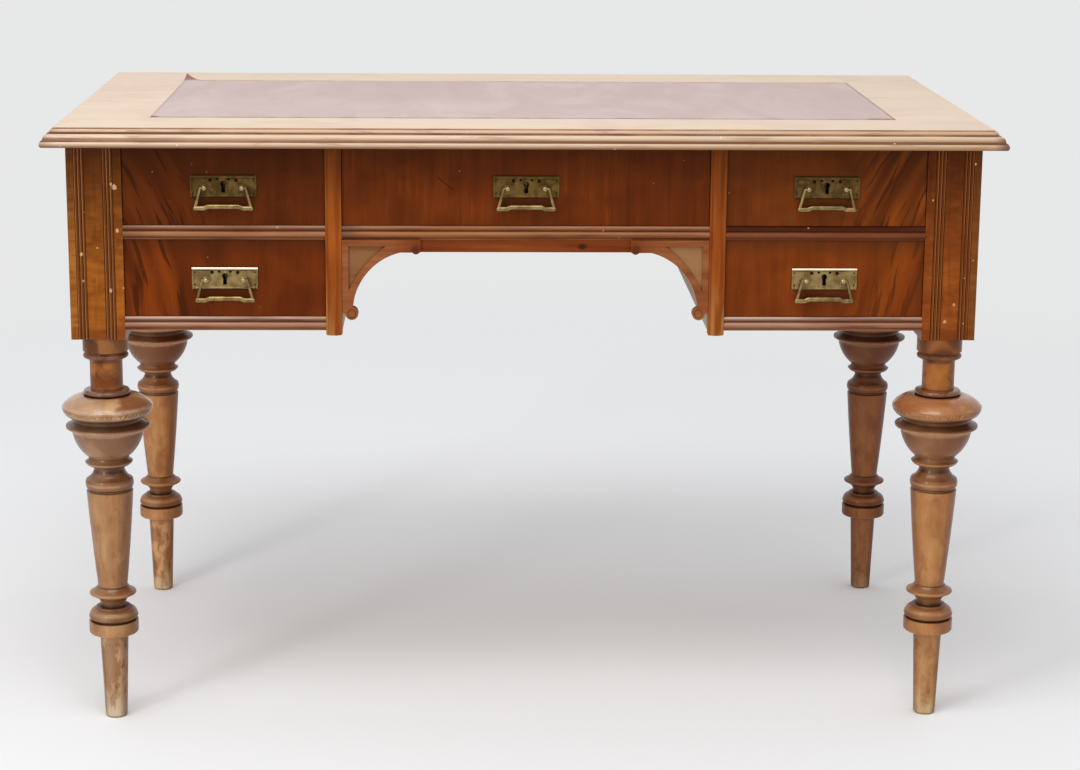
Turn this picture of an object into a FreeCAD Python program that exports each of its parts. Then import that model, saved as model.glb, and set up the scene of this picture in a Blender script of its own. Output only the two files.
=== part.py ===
import FreeCAD, Part
import math
import os

# Writing desk with a leather top, five drawers and four turned legs.
# Millimetres. Origin on the floor under the middle of the desk, X to the right, Y to the back, Z up.

V = FreeCAD.Vector
ACROSS = V(1, 0, 0)
DEEP = V(0, 1, 0)
UP = V(0, 0, 1)

# Overall
desk_width = 1200.0
desk_depth = 670.0
desk_height = 780.0
top_thickness = 24.0
top_overhang = 28.0

# Fits
glue_gap = 0.1
seat_gap = 0.3
running_gap = 0.8
pin_clearance = 0.06
overrun = 4.0

# Top
edge_width = 19.0
leather_width = 954.0
leather_depth = 437.0
leather_recess = 2.0
leather_thickness = 1.7

# Legs
post_width = 59.0
post_foot = 12.0
pilaster_thickness = 9.0
reed_width = 4.4
reeds_in_group = 3
reed_margin = 10.5
reed_depth = 2.0
reed_bulge_share = 0.4

# Carcass
upper_opening = 100.5
lower_opening = 98.5
rail_height = 17.5
rail_depth = 50.0
rail_proud = 1.5
kneehole_width = 462.0
partition_thickness = 20.6
stile_thickness = 10.0
stile_proud = 3.0
stile_drop = 6.0
panel_thickness = 14.0
panel_setback = 6.0
panel_lift = 2.0
tongue_length = 9.0
tongue_thickness = 7.0
back_thickness = 12.0
tenon_length = 14.0
tenon_thickness = 8.0
top_rail_height = 14.0
top_rail_depth = 45.0
top_rail_gap = 1.0
runner_height = 15.0
runner_width = 18.0
guide_height = 14.0

# Apron and brackets
apron_height = 15.8
apron_thickness = 14.0
bracket_thickness = 12.0
bracket_width = 98.0
bracket_height = 102.0
bracket_border = 7.8
bracket_field_depth = 2.5
bracket_knob_radius = 5.0
bracket_ball_radius = 8.2

# Drawers
drawer_back_gap = 63.0
front_thickness = 20.0
front_recess = 3.0
front_top_gap = 1.5
side_thickness = 10.0
side_height = 80.0
tail_count = 4
tail_length = 15.0
bottom_thickness = 5.0
bottom_rise = 8.0
groove_depth = 5.0

# Handles
plate_width = 82.5
plate_height = 27.5
plate_thickness = 1.5
plate_rim_height = 4.4
plate_rim_proud = 1.3
plate_side_rim = 2.0
plate_side_proud = 0.5
plate_ball_radius = 2.0
piercing_radius = 1.5
post_spacing = 46.8
post_drop = 1.8
post_radius = 3.4
post_stem_radius = 2.2
hinge_reach = 5.5
nut_height = 3.0
nut_across = 8.0
bail_wire_radius = 1.6
grip_radius = 3.3
grip_half_length = 35.0
grip_drop = 25.4
grip_rise = 2.2

# Locks
lock_width = 33.0
lock_height = 62.0
lock_depth = 9.0
selvedge_width = 52.0
selvedge_depth = 12.0
selvedge_thickness = 2.0
bolt_width = 14.0
bolt_thickness = 4.5
bolt_length = 30.0
bolt_travel = 6.5
mortise_depth = 6.5
mortise_gap = 0.8
keyhole_radius = 3.1
keyhole_slot = 3.8
keyhole_length = 10.6

# Places that follow from the sizes above
half_width = desk_width / 2 - top_overhang
half_depth = desk_depth / 2 - top_overhang
underside = desk_height - top_thickness
post_outer = half_width - pilaster_thickness
post_inner = post_outer - post_width
post_back = -half_depth + post_width
leg_x = (post_outer + post_inner) / 2
leg_y = -half_depth + post_width / 2
kneehole_half = kneehole_width / 2
partition_outer = kneehole_half + partition_thickness
upper_floor = underside - upper_opening
lower_ceiling = upper_floor - rail_height
lower_floor = lower_ceiling - lower_opening
carcass_floor = lower_floor - rail_height
turned_height = carcass_floor - post_foot
panel_floor = turned_height + panel_lift
rail_face = -half_depth - rail_proud
rail_back = rail_face + rail_depth
stile_face = -half_depth - stile_proud
stile_back = stile_face + stile_thickness
back_inner = half_depth - panel_setback - back_thickness
side_inner = post_outer - panel_setback - panel_thickness
drawer_face = -half_depth + front_recess
front_back = drawer_face + front_thickness
drawer_end = back_inner - drawer_back_gap
bolt_y = front_back - lock_depth / 2
lock_back = front_back - lock_depth


def block(x_range, y_range, z_range):
    """Square-edged piece between two places along each axis."""
    lows = [min(pair) for pair in (x_range, y_range, z_range)]
    spans = [max(pair) - min(pair) for pair in (x_range, y_range, z_range)]
    return Part.makeBox(*spans, V(*lows))


def drawn(rows, place):
    """Edges through rows of (reach, travel, bulge). A bulge makes an arc that stands out that far."""
    edges = []
    for (reach, travel, _), (next_reach, next_travel, bulge) in zip(rows, rows[1:]):
        start = place(reach, travel)
        end = place(next_reach, next_travel)
        if not bulge:
            edges.append(Part.LineSegment(start, end).toShape())
            continue
        run = math.hypot(next_reach - reach, next_travel - travel)
        out_reach = (reach + next_reach) / 2 + bulge * (next_travel - travel) / run
        out_travel = (travel + next_travel) / 2 - bulge * (next_reach - reach) / run
        edges.append(Part.Arc(start, place(out_reach, out_travel), end).toShape())
    return edges


def moulded(rows, place, run):
    """Solid with the outline of rows, closed back to the first of them, along the vector run."""
    edges = drawn(list(rows) + [(rows[0][0], rows[0][1], 0)], place)
    return Part.Face(Part.Wire(edges)).extrude(run)


def scaled(shares, reach, travel):
    """Rows in real sizes from rows of shares. A bulge is a share of the reach."""
    return [(a * reach, b * travel, c * reach) for a, b, c in shares]


def round_bar(radius, start, end):
    """Round bar between two points."""
    along = end - start
    return Part.makeCylinder(radius, along.Length, start, along)


def joined(*pieces):
    """One solid from pieces that touch or overlap."""
    whole = pieces[0]
    for piece in pieces[1:]:
        whole = whole.fuse(piece)
    return whole.removeSplitter()


def cut_away(piece, tools):
    for tool in tools:
        piece = piece.cut(tool)
    return piece


def mirrored(piece):
    return piece.mirror(V(), ACROSS)


def moved(piece, x, y, z):
    copy = piece.copy()
    copy.translate(V(x, y, z))
    return copy


def save(node, *pieces):
    shape = pieces[0] if len(pieces) == 1 else Part.makeCompound(list(pieces))
    shape.exportStep("parts/" + node + ".step")


# Tenons and tongues, each with its mortise or groove in the post

def rail_tenon(floor, height, slack=0.0):
    """Stub tenon on a rail's left end; with slack it is the mortise in the front left post."""
    centre_y = rail_face + rail_depth / 2
    centre_z = floor + height / 2
    half = tenon_thickness / 2 + slack
    return block((-post_inner - tenon_length - slack, -post_inner),
                 (centre_y - rail_depth / 4 - slack, centre_y + rail_depth / 4 + slack),
                 (centre_z - half, centre_z + half))


def side_tongue(sign, slack=0.0):
    """Tongue of the left side panel in the front (-1) or back (+1) left post."""
    centre = -side_inner - panel_thickness / 2
    half = tongue_thickness / 2 + slack
    return block((centre - half, centre + half),
                 (sign * -post_back, sign * (-post_back + tongue_length + slack)),
                 (panel_floor - slack, underside))


def back_tongue(slack=0.0):
    """Tongue of the back panel in the back left post."""
    centre = back_inner + back_thickness / 2
    half = tongue_thickness / 2 + slack
    return block((-post_inner - tongue_length - slack, -post_inner),
                 (centre - half, centre + half),
                 (carcass_floor - slack, underside))


# Top

# The edge moulding from its joint with the board down to its underside: reach and drop as shares of
# the edge's width and of the top's thickness.
EDGE_SHARES = (
    # quirk beside the flat, small bead, second quirk
    (0.00, 0.00, 0), (0.15, 0.00, 0), (0.16, 0.05, 0), (0.20, 0.06, 0), (0.38, 0.22, 0.05),
    (0.38, 0.29, 0), (0.46, 0.30, 0),
    # broad bead, shallow cove and the lowest bead
    (0.78, 0.54, 0.09), (0.78, 0.57, 0), (0.92, 0.66, -0.04), (0.92, 0.68, 0), (0.92, 0.98, 0.08),
    (0.86, 1.00, 0), (0.00, 1.00, 0),
)


def top_board():
    half_x = desk_width / 2 - edge_width
    half_y = desk_depth / 2 - edge_width
    board = block((-half_x, half_x), (-half_y, half_y), (underside, desk_height))
    recess = block((-leather_width / 2, leather_width / 2), (-leather_depth / 2, leather_depth / 2),
                   (desk_height - leather_recess, desk_height + overrun))
    mortises = [bolt_mortise(drawer_centre, underside) for drawer_centre in upper_centres]
    return cut_away(board, [recess] + mortises)


def leather_inset():
    floor = desk_height - leather_recess
    return block((-leather_width / 2 + glue_gap, leather_width / 2 - glue_gap),
                 (-leather_depth / 2 + glue_gap, leather_depth / 2 - glue_gap),
                 (floor, floor + leather_thickness))


def edge_length(half_run, half_offset):
    """One mitred length of edge moulding, as it lies along the front."""
    joint = -(half_offset - edge_width)
    rows = scaled(EDGE_SHARES, edge_width, top_thickness)
    strip = moulded(rows, lambda reach, drop: V(-half_run, joint - reach, desk_height - drop),
                    ACROSS * (2 * half_run))
    far = half_offset + overrun
    near_run = half_run - edge_width
    far_run = half_run + overrun
    corners = [V(-far_run, -far, underside), V(far_run, -far, underside),
               V(near_run, joint, underside), V(-near_run, joint, underside)]
    mitre = Part.Face(Part.makePolygon(corners + corners[:1])).extrude(UP * top_thickness)
    return strip.common(mitre)


def top_moulding():
    front = edge_length(desk_width / 2, desk_depth / 2)
    right = edge_length(desk_depth / 2, desk_width / 2)
    lengths = []
    for strip, turn in ((front, 0), (right, 90), (front, 180), (right, 270)):
        turned = strip.copy()
        turned.rotate(V(), UP, turn)
        lengths.append(turned)
    return lengths


# Legs

# The turning from the post down to the floor: radius and bulge as shares of half the post's width,
# drop as a share of the turned height.
TURNING_SHARES = (
    # drum under the post, quirk, bead and cove into the neck
    (0.98, 0.000, 0), (0.98, 0.037, 0), (0.89, 0.041, 0), (0.91, 0.044, 0), (0.91, 0.055, 0.06),
    (0.70, 0.066, -0.05), (0.70, 0.135, 0),
    # small torus, then the wide bun
    (0.90, 0.136, 0), (0.90, 0.151, 0.11), (1.95, 0.178, 0.15), (1.53, 0.206, 0.13),
    # bowl with its sloping rim
    (1.45, 0.208, 0), (1.45, 0.216, 0), (1.79, 0.227, -0.03), (1.74, 0.235, 0.04), (1.55, 0.242, 0),
    (0.88, 0.310, 0.13),
    # pointed bead under the bowl, neck and collar
    (0.86, 0.312, 0), (1.03, 0.323, -0.03), (0.85, 0.333, 0.03), (0.68, 0.337, 0), (0.66, 0.343, 0),
    (1.00, 0.368, -0.06), (1.00, 0.390, 0.045), (0.92, 0.392, 0), (0.92, 0.396, 0),
    # tapered shaft
    (1.01, 0.399, 0), (0.64, 0.650, 0.02),
    # pointed ring and lower neck
    (0.70, 0.652, 0), (0.98, 0.664, -0.03), (0.98, 0.672, 0.04), (0.60, 0.687, -0.03), (0.56, 0.694, 0),
    # flat torus on a fillet, quirk and drum over the foot
    (0.56, 0.703, 0), (0.74, 0.704, 0), (0.76, 0.709, 0), (1.05, 0.724, 0.07), (0.97, 0.736, 0.06),
    (0.92, 0.737, 0), (0.92, 0.740, 0), (1.08, 0.742, 0), (1.08, 0.769, 0), (1.02, 0.774, 0.01),
    # tapered foot
    (0.62, 0.779, 0), (0.48, 0.994, 0), (0.39, 1.000, 0.02),
)


def reeded_rows(width, flat_start):
    """The face of a post or pilaster from its outer edge: two groups of reeds beside a flat field."""
    group = reeds_in_group * reed_width
    bulge = reed_width * reed_bulge_share
    rows = [(0, 0, 0)] if flat_start else []
    for start in (flat_start, width - reed_margin - group):
        if rows:
            rows.append((0, start, 0))
        rows.append((-reed_depth, start, 0))
        for reed in range(reeds_in_group):
            rows.append((-reed_depth, start + (reed + 1) * reed_width, bulge))
        rows.append((0, start + group, 0))
    rows.append((0, width, 0))
    return rows


def turned_part():
    rows = scaled(TURNING_SHARES, post_width / 2, turned_height)
    outline = [(0, 0, 0)] + rows + [(0, turned_height, 0), (0, 0, 0)]
    edges = drawn(outline, lambda radius, drop: V(radius, 0, turned_height - drop))
    turning = Part.Face(Part.Wire(edges)).revolve(V(), UP, 360)
    return moved(turning, -leg_x, leg_y, 0)


def front_leg():
    """Front left leg; the right one is its mirror image."""
    rows = reeded_rows(post_width, 0) + [(-post_width, post_width, 0), (-post_width, 0, 0)]
    post = moulded(rows, lambda reach, run: V(-post_outer + run, -half_depth - reach, turned_height),
                   UP * (underside - turned_height))
    leg = joined(post, turned_part())
    mortises = [rail_tenon(upper_floor - rail_height, rail_height, glue_gap),
                rail_tenon(carcass_floor, rail_height, glue_gap),
                side_tongue(-1, glue_gap)]
    return cut_away(leg, mortises)


def back_leg():
    post = block((-post_outer, -post_inner), (-half_depth, post_back), (turned_height, underside))
    leg = joined(post, turned_part()).mirror(V(), DEEP)
    return cut_away(leg, [side_tongue(1, glue_gap), back_tongue(glue_gap)])


def side_pilaster(sign):
    """Reeded strip on the outer face of the front (-1) or back (+1) left post."""
    rows = reeded_rows(post_width, reed_margin)
    rows += [(-pilaster_thickness, post_width, 0), (-pilaster_thickness, 0, 0)]
    return moulded(rows, lambda reach, run: V(-half_width - reach, sign * (half_depth - run), turned_height),
                   UP * (underside - turned_height))


# Carcass

def side_panel():
    panel = block((-side_inner - panel_thickness, -side_inner), (post_back, -post_back),
                  (panel_floor, underside))
    return joined(panel, side_tongue(-1), side_tongue(1))


def back_panel():
    panel = block((-post_inner, post_inner), (back_inner, back_inner + back_thickness),
                  (carcass_floor, underside))
    return joined(panel, back_tongue(), mirrored(back_tongue()))


def top_rail():
    front = front_back + top_rail_gap
    return block((-post_inner, post_inner), (front, front + top_rail_depth),
                 (underside - top_rail_height, underside))


def partition():
    board = block((-partition_outer, -kneehole_half), (stile_back, back_inner), (carcass_floor, underside))
    return board.cut(top_rail())


# A stile's front from one edge to the other: a side bead, a quirk and half of the broad round, then the
# same mirrored. Reach as shares of the stile's thickness, run as shares of its width.
STILE_SHARES = ((0.78, 0.00, 0), (0.78, 0.14, 0.08), (0.75, 0.17, 0), (0.75, 0.83, 0.21),
                (0.78, 0.86, 0), (0.78, 1.00, 0.08))


def stile():
    floor = carcass_floor - stile_drop
    rows = scaled(STILE_SHARES, stile_thickness, partition_thickness)
    rows += [(0, partition_thickness, 0), (0, 0, 0)]
    strip = moulded(rows, lambda reach, run: V(-partition_outer + run, stile_back - reach, floor),
                    UP * (underside - floor))
    corner = stile_drop / 2
    keep = block((-partition_outer, -kneehole_half), (stile_face - overrun, stile_back), (floor, underside))
    lower_edges = [edge for edge in keep.Edges
                   if edge.BoundBox.ZMax < floor + glue_gap and edge.BoundBox.XLength < glue_gap]
    return strip.common(keep.makeFillet(corner, lower_edges))


# A rail's front edge from top to bottom: a small bead, a quirk and a broad bead over a flat. Reach and
# drop are shares of its height.
RAIL_SHARES = (
    (0.00, 0.00, 0), (0.03, 0.03, 0), (0.05, 0.05, 0), (0.05, 0.33, 0.10), (-0.01, 0.36, 0),
    (-0.01, 0.40, 0), (0.05, 0.42, 0), (0.05, 0.88, 0.13), (-0.02, 0.91, 0), (-0.02, 1.00, 0),
)


def rail(x_start, x_end, floor):
    """Moulded rail between two places, its beads just reaching the rail's face."""
    fullest = max(a + c for a, b, c in RAIL_SHARES) * rail_height
    rows = scaled(RAIL_SHARES, rail_height, rail_height)
    rows += [(fullest - rail_depth, rail_height, 0), (fullest - rail_depth, 0, 0)]
    return moulded(rows,
                   lambda reach, drop: V(x_start, rail_face + fullest - reach, floor + rail_height - drop),
                   ACROSS * (x_end - x_start))


def side_rail(floor):
    """Left rail with its tenon; it runs on past the partition's edge no further than the stile."""
    return joined(rail(-post_inner, -partition_outer, floor), rail_tenon(floor, rail_height))


def upper_side_rail():
    mortise = bolt_mortise(-side_centre, lower_ceiling)
    return side_rail(upper_floor - rail_height).cut(mortise)


def centre_rail():
    return rail(-kneehole_half, kneehole_half, upper_floor - rail_height)


def arm_seat():
    """The rebate in the apron that houses a bracket's arm, on the left."""
    return block((-kneehole_half, -kneehole_half + bracket_width + seat_gap),
                 (-half_depth - rail_proud - overrun, bracket_back),
                 (lower_ceiling - apron_height - overrun, lower_ceiling + overrun))


def apron():
    strip = block((-kneehole_half, kneehole_half), (drawer_face, drawer_face + apron_thickness),
                  (lower_ceiling - apron_height, lower_ceiling))
    return cut_away(strip, [arm_seat(), mirrored(arm_seat())])


bracket_back = rail_face + bracket_thickness

# The arch under a bracket's arm, in shares of its width and height, from the arm to the drop.
arch_start_share = 0.74
arch_middle_shares = (0.371, 0.355)
arch_end_shares = (0.137, 0.815)
field_middle_shares = (0.268, 0.345)
field_arm_share = 0.56
field_stem_share = 0.64
drop_centre_shares = (0.118, 0.92)
knob_centre_share = 0.945
knob_drop_share = 0.83


def bracket():
    """Left bracket: an arched fret with a sunk field, a ball at the foot and a knob under the arm."""
    wall = -kneehole_half + seat_gap

    def at(across, down, y=bracket_back):
        return V(wall + across, y, lower_ceiling - down)

    def along(shares):
        return shares[0] * bracket_width, shares[1] * bracket_height

    arch_start = (arch_start_share * bracket_width, apron_height)
    arch_end = along(arch_end_shares)
    drop_x, drop_z = along(drop_centre_shares)
    knob_x = knob_centre_share * bracket_width
    edges = [
        Part.LineSegment(at(0, 0), at(bracket_width, 0)).toShape(),
        Part.LineSegment(at(bracket_width, 0), at(bracket_width, apron_height)).toShape(),
        Part.LineSegment(at(bracket_width, apron_height), at(*arch_start)).toShape(),
        Part.Arc(at(*arch_start), at(*along(arch_middle_shares)), at(*arch_end)).toShape(),
        Part.LineSegment(at(*arch_end), at(drop_x, drop_z)).toShape(),
        Part.LineSegment(at(drop_x, drop_z), at(0, drop_z)).toShape(),
        Part.LineSegment(at(0, drop_z), at(0, 0)).toShape(),
    ]
    thickness = DEEP * -bracket_thickness
    fret = Part.Face(Part.Wire(edges)).extrude(thickness)
    ball = Part.makeCylinder(bracket_ball_radius, bracket_thickness, at(drop_x, drop_z), thickness)
    knob = Part.makeCylinder(bracket_knob_radius, bracket_thickness,
                             at(knob_x, knob_drop_share * apron_height), thickness)
    beyond_wall = block((wall - bracket_width, wall), (rail_face - overrun, bracket_back + overrun),
                        (carcass_floor - overrun, lower_ceiling + overrun))
    beyond_arm = moved(beyond_wall, 2 * bracket_width, 0, 0)
    fret = cut_away(joined(fret, ball, knob), [beyond_wall, beyond_arm])
    face = rail_face - overrun
    corner = (bracket_border, bracket_border)
    arm_end = (field_arm_share * bracket_width, bracket_border)
    stem_end = (bracket_border, field_stem_share * bracket_height)
    field_edges = [
        Part.LineSegment(at(*corner, face), at(*arm_end, face)).toShape(),
        Part.Arc(at(*arm_end, face), at(*along(field_middle_shares), face), at(*stem_end, face)).toShape(),
        Part.LineSegment(at(*stem_end, face), at(*corner, face)).toShape(),
    ]
    field = Part.Face(Part.Wire(field_edges)).extrude(DEEP * (overrun + bracket_field_depth))
    return fret.cut(field)


def outer_runner(floor):
    """Runner between the left posts with its guide, glued to the side panel."""
    y_range = (post_back, -post_back)
    inner = post_inner - running_gap - side_thickness - seat_gap
    shelf = block((-side_inner, -inner), y_range, (floor - runner_height, floor))
    guide = block((-side_inner, -post_inner), y_range, (floor, floor + guide_height))
    return joined(shelf, guide)


def inner_runner(x_start, floor):
    return block((x_start, x_start + runner_width), (rail_back, back_inner), (floor - runner_height, floor))


def drawer_runners():
    left = [outer_runner(floor) for floor in (upper_floor, lower_floor)]
    left += [inner_runner(-partition_outer - runner_width, floor) for floor in (upper_floor, lower_floor)]
    left.append(inner_runner(-kneehole_half, upper_floor))
    return left + [mirrored(runner) for runner in left]


# Drawers

side_centre = (post_inner + partition_outer) / 2
side_clear = post_inner - partition_outer
upper_centres = (-side_centre, 0, side_centre)
tail_width_share = 0.5
tail_flare_share = 0.17


def tails(x_range, shoulder, tip, z_range):
    """A row of dovetails from the shoulder to the tip, wider at the tip."""
    pitch = (z_range[1] - z_range[0]) / tail_count
    half = pitch * tail_width_share / 2
    flare = abs(tip - shoulder) * tail_flare_share
    row = []
    for number in range(tail_count):
        middle = z_range[0] + pitch * (number + 1 / 2)
        corners = [V(x_range[0], shoulder, middle - half), V(x_range[0], tip, middle - half - flare),
                   V(x_range[0], tip, middle + half + flare), V(x_range[0], shoulder, middle + half)]
        outline = Part.makePolygon(corners + corners[:1])
        row.append(Part.Face(outline).extrude(ACROSS * (x_range[1] - x_range[0])))
    return row


def bolt_mortise(centre, ceiling):
    """Pocket over a closed drawer that takes the raised bolt."""
    half = bolt_width / 2 + mortise_gap
    deep = bolt_thickness / 2 + mortise_gap
    return block((centre - half, centre + half), (bolt_y - deep, bolt_y + deep),
                 (ceiling - overrun, ceiling + mortise_depth))


def keyhole(centre, pin_z, y_range):
    """Round eye over a straight slot, along Y."""
    eye = round_bar(keyhole_radius, V(centre, y_range[0], pin_z), V(centre, y_range[1], pin_z))
    half = keyhole_slot / 2
    slot = block((centre - half, centre + half), y_range, (pin_z - keyhole_length, pin_z))
    return joined(eye, slot)


class Drawer:
    """One drawer in its opening: its pieces, its handle and its lock."""

    def __init__(self, name, centre, clear_width, floor, ceiling, top_gap):
        self.name = name
        self.centre = centre
        self.half = clear_width / 2 - running_gap
        self.floor = floor + seat_gap
        self.top = ceiling - top_gap
        self.front_floor = floor + running_gap
        self.plate_z = (self.front_floor + self.top) / 2
        self.hinge_z = self.plate_z - post_drop
        self.pin_z = self.plate_z + plate_height * key_rise_share
        self.hinge_y = drawer_face - plate_thickness - hinge_reach
        self.side_z = (self.floor, self.floor + side_height)
        self.bottom_z = self.floor + bottom_rise

    def x(self, low, high):
        return self.centre + low, self.centre + high

    def sides(self):
        """Left and right sides with tails at both ends, grooved for the bottom."""
        shoulder = front_back
        rear = drawer_end - side_thickness
        pair = []
        for x_range in (self.x(-self.half, -self.half + side_thickness),
                        self.x(self.half - side_thickness, self.half)):
            board = block(x_range, (shoulder, rear), self.side_z)
            board = joined(board, *tails(x_range, shoulder, shoulder - tail_length, self.side_z),
                           *tails(x_range, rear, drawer_end, self.back_z()))
            pair.append(board.cut(self.groove()))
        return pair

    def back_z(self):
        return self.bottom_z + bottom_thickness + glue_gap, self.side_z[1]

    def groove(self):
        """Space of the bottom board, run through the sides and the front's back face."""
        reach = self.half - side_thickness + groove_depth
        return block(self.x(-reach, reach), (front_back - groove_depth, drawer_end + overrun),
                     (self.bottom_z, self.bottom_z + bottom_thickness + glue_gap))

    def back(self):
        board = block(self.x(-self.half, self.half), (drawer_end - side_thickness, drawer_end), self.back_z())
        return cut_away(board, self.sides())

    def bottom(self):
        reach = self.half - side_thickness + groove_depth - glue_gap
        return block(self.x(-reach, reach), (front_back - groove_depth + glue_gap, drawer_end),
                     (self.bottom_z, self.bottom_z + bottom_thickness))

    def front(self):
        board = block(self.x(-self.half, self.half), (drawer_face, front_back), (self.front_floor, self.top))
        sockets = []
        for x_range in (self.x(-self.half - overrun, -self.half + side_thickness),
                        self.x(self.half - side_thickness, self.half + overrun)):
            sockets += tails(x_range, front_back, front_back - tail_length, self.side_z)
        lock_pocket = [self.lock_body(glue_gap),
                       keyhole(self.centre, self.pin_z, (drawer_face - overrun, front_back))]
        shanks = [round_bar(post_stem_radius + pin_clearance, V(x, drawer_face - overrun, self.hinge_z),
                            V(x, front_back + overrun, self.hinge_z)) for x in self.post_x()]
        return cut_away(board, sockets + [self.groove()] + lock_pocket + shanks)

    def post_x(self):
        return self.x(-post_spacing / 2, post_spacing / 2)

    def plate(self):
        """Backplate with rims above and below, corner balls, keyhole and piercings."""
        half = plate_width / 2
        face = drawer_face - plate_thickness
        z_low = self.plate_z - plate_height / 2
        z_high = self.plate_z + plate_height / 2
        plate = block(self.x(-half, half), (face, drawer_face), (z_low, z_high))
        pieces = [plate]
        for z_start, height, bulge in ((z_high, plate_rim_height, plate_rim_proud),
                                       (z_low + plate_rim_height * low_rim_share,
                                        plate_rim_height * low_rim_share, plate_rim_proud / 2)):
            rows = [(0, 0, 0), (0, height, bulge), (-plate_thickness, height, 0), (-plate_thickness, 0, 0)]
            pieces.append(moulded(rows, lambda reach, drop, z=z_start: V(self.centre - half, face - reach, z - drop),
                                  ACROSS * plate_width))
        for x_range in (self.x(-half, -half + plate_side_rim), self.x(half - plate_side_rim, half)):
            pieces.append(block(x_range, (face - plate_side_proud, face), (z_low, z_high)))
        for x in self.x(-half + plate_ball_radius, half - plate_ball_radius):
            ball = Part.makeSphere(plate_ball_radius, V(x, face, z_low + plate_ball_radius))
            pieces.append(ball.common(block((x - half, x + half), (face - half, drawer_face), (z_low, z_high))))
        holes = [keyhole(self.centre, self.pin_z, (face - overrun, drawer_face + overrun))]
        for x_share, z_share in piercing_shares:
            x = self.centre + x_share * plate_width
            z = self.plate_z + z_share * plate_height
            holes.append(round_bar(piercing_radius, V(x, face - overrun, z), V(x, drawer_face + overrun, z)))
        for x in self.post_x():
            holes.append(round_bar(post_stem_radius + pin_clearance, V(x, face - overrun, self.hinge_z),
                                   V(x, drawer_face + overrun, self.hinge_z)))
        return cut_away(joined(*pieces), holes)

    def posts(self):
        """Turned posts with a bore for the bail; the shank runs through the front to a nut."""
        rows = scaled(POST_SHARES, post_radius, hinge_reach)
        rows = [(0, 0, 0)] + rows + [(0, rows[-1][1], 0)]
        face = drawer_face - plate_thickness
        pair = []
        for x in self.post_x():
            head = Part.Face(Part.Wire(drawn(rows + [(0, 0, 0)],
                             lambda radius, out: V(x + radius, face - out, self.hinge_z))))
            head = head.revolve(V(x, face, self.hinge_z), DEEP, 360)
            shank = round_bar(post_stem_radius, V(x, face, self.hinge_z),
                              V(x, front_back + nut_height + seat_gap, self.hinge_z))
            bore = round_bar(bail_wire_radius + pin_clearance, V(x - post_spacing, self.hinge_y, self.hinge_z),
                             V(x + post_spacing, self.hinge_y, self.hinge_z))
            pair.append(joined(head, shank).cut(bore))
        return pair

    def nuts(self):
        pair = []
        for x in self.post_x():
            radius = nut_across / math.sqrt(3)
            corners = [V(x + radius * math.cos(math.pi * turn / 3), front_back,
                         self.hinge_z + radius * math.sin(math.pi * turn / 3)) for turn in range(6)]
            nut = Part.Face(Part.makePolygon(corners + corners[:1])).extrude(DEEP * nut_height)
            thread = round_bar(post_stem_radius + pin_clearance, V(x, front_back - overrun, self.hinge_z),
                               V(x, front_back + nut_height + overrun, self.hinge_z))
            pair.append(nut.cut(thread))
        return pair

    def bail(self):
        """Bail hanging plumb: two pins, two arms that thicken downwards and a grip that rises in the middle."""

        def at(across, down):
            return V(across, 0, -down)

        pin_start = post_spacing / 2 - post_radius * pin_reach_share
        pin_end = post_spacing / 2 + post_radius * pin_stand_share
        slope = grip_half_length * grip_slope_share
        level = grip_half_length * grip_level_share
        middle_drop = grip_drop - grip_rise
        grip = [round_bar(grip_radius, at(-level, middle_drop), at(level, middle_drop)),
                Part.makeSphere(grip_radius, at(-level, middle_drop)),
                Part.makeSphere(grip_radius, at(level, middle_drop))]
        wires = []
        for side in (-1, 1):
            knee = at(side * slope, grip_drop)
            end = at(side * grip_half_length, grip_drop)
            corner = at(side * pin_end, 0)
            grip += [round_bar(grip_radius, at(side * level, middle_drop), knee),
                     Part.makeSphere(grip_radius, knee),
                     round_bar(grip_radius, knee, end),
                     Part.makeSphere(grip_radius, end)]
            wires += [round_bar(bail_wire_radius, at(side * pin_start, 0), corner),
                      Part.makeSphere(bail_wire_radius, corner),
                      Part.makeCone(bail_wire_radius, grip_radius * arm_spread_share, (end - corner).Length,
                                    corner, end - corner)]
        return moved(joined(*grip, *wires), self.centre, self.hinge_y, self.hinge_z)

    def lock_body(self, slack=0.0):
        """Lock case flush in the front's back face, with its selvedge flush in the top edge."""
        half = lock_width / 2 + slack
        case = block(self.x(-half, half), (lock_back - slack, front_back),
                     (self.top - lock_height - slack, self.top))
        half = selvedge_width / 2 + slack
        selvedge = block(self.x(-half, half), (front_back - selvedge_depth - slack, front_back),
                         (self.top - selvedge_thickness - slack, self.top))
        return joined(case, selvedge)

    def bolt_space(self, slack, floor, height):
        half = bolt_width / 2 + slack
        deep = bolt_thickness / 2 + slack
        return block(self.x(-half, half), (bolt_y - deep, bolt_y + deep), (floor, floor + height))

    def lock_case(self):
        channel_floor = self.top - bolt_length - 2 * seat_gap
        channel = self.bolt_space(glue_gap, channel_floor, bolt_length + overrun)
        hole = keyhole(self.centre, self.pin_z, (lock_back - overrun, bolt_y))
        return cut_away(self.lock_body(), [channel, hole])

    def lock_bolt(self):
        return self.bolt_space(0.0, self.top - bolt_length - seat_gap, bolt_length)

    def save_pieces(self):
        save("drawer_front_" + self.name, self.front())
        save("drawer_box_" + self.name, *self.sides(), self.back())
        save("drawer_bottom_" + self.name, self.bottom())
        save("handle_plate_" + self.name, self.plate(), *self.posts(), *self.nuts())
        save("handle_bail_" + self.name, self.bail())
        save("lock_case_" + self.name, self.lock_case())
        save("lock_bolt_" + self.name, self.lock_bolt())


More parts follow.
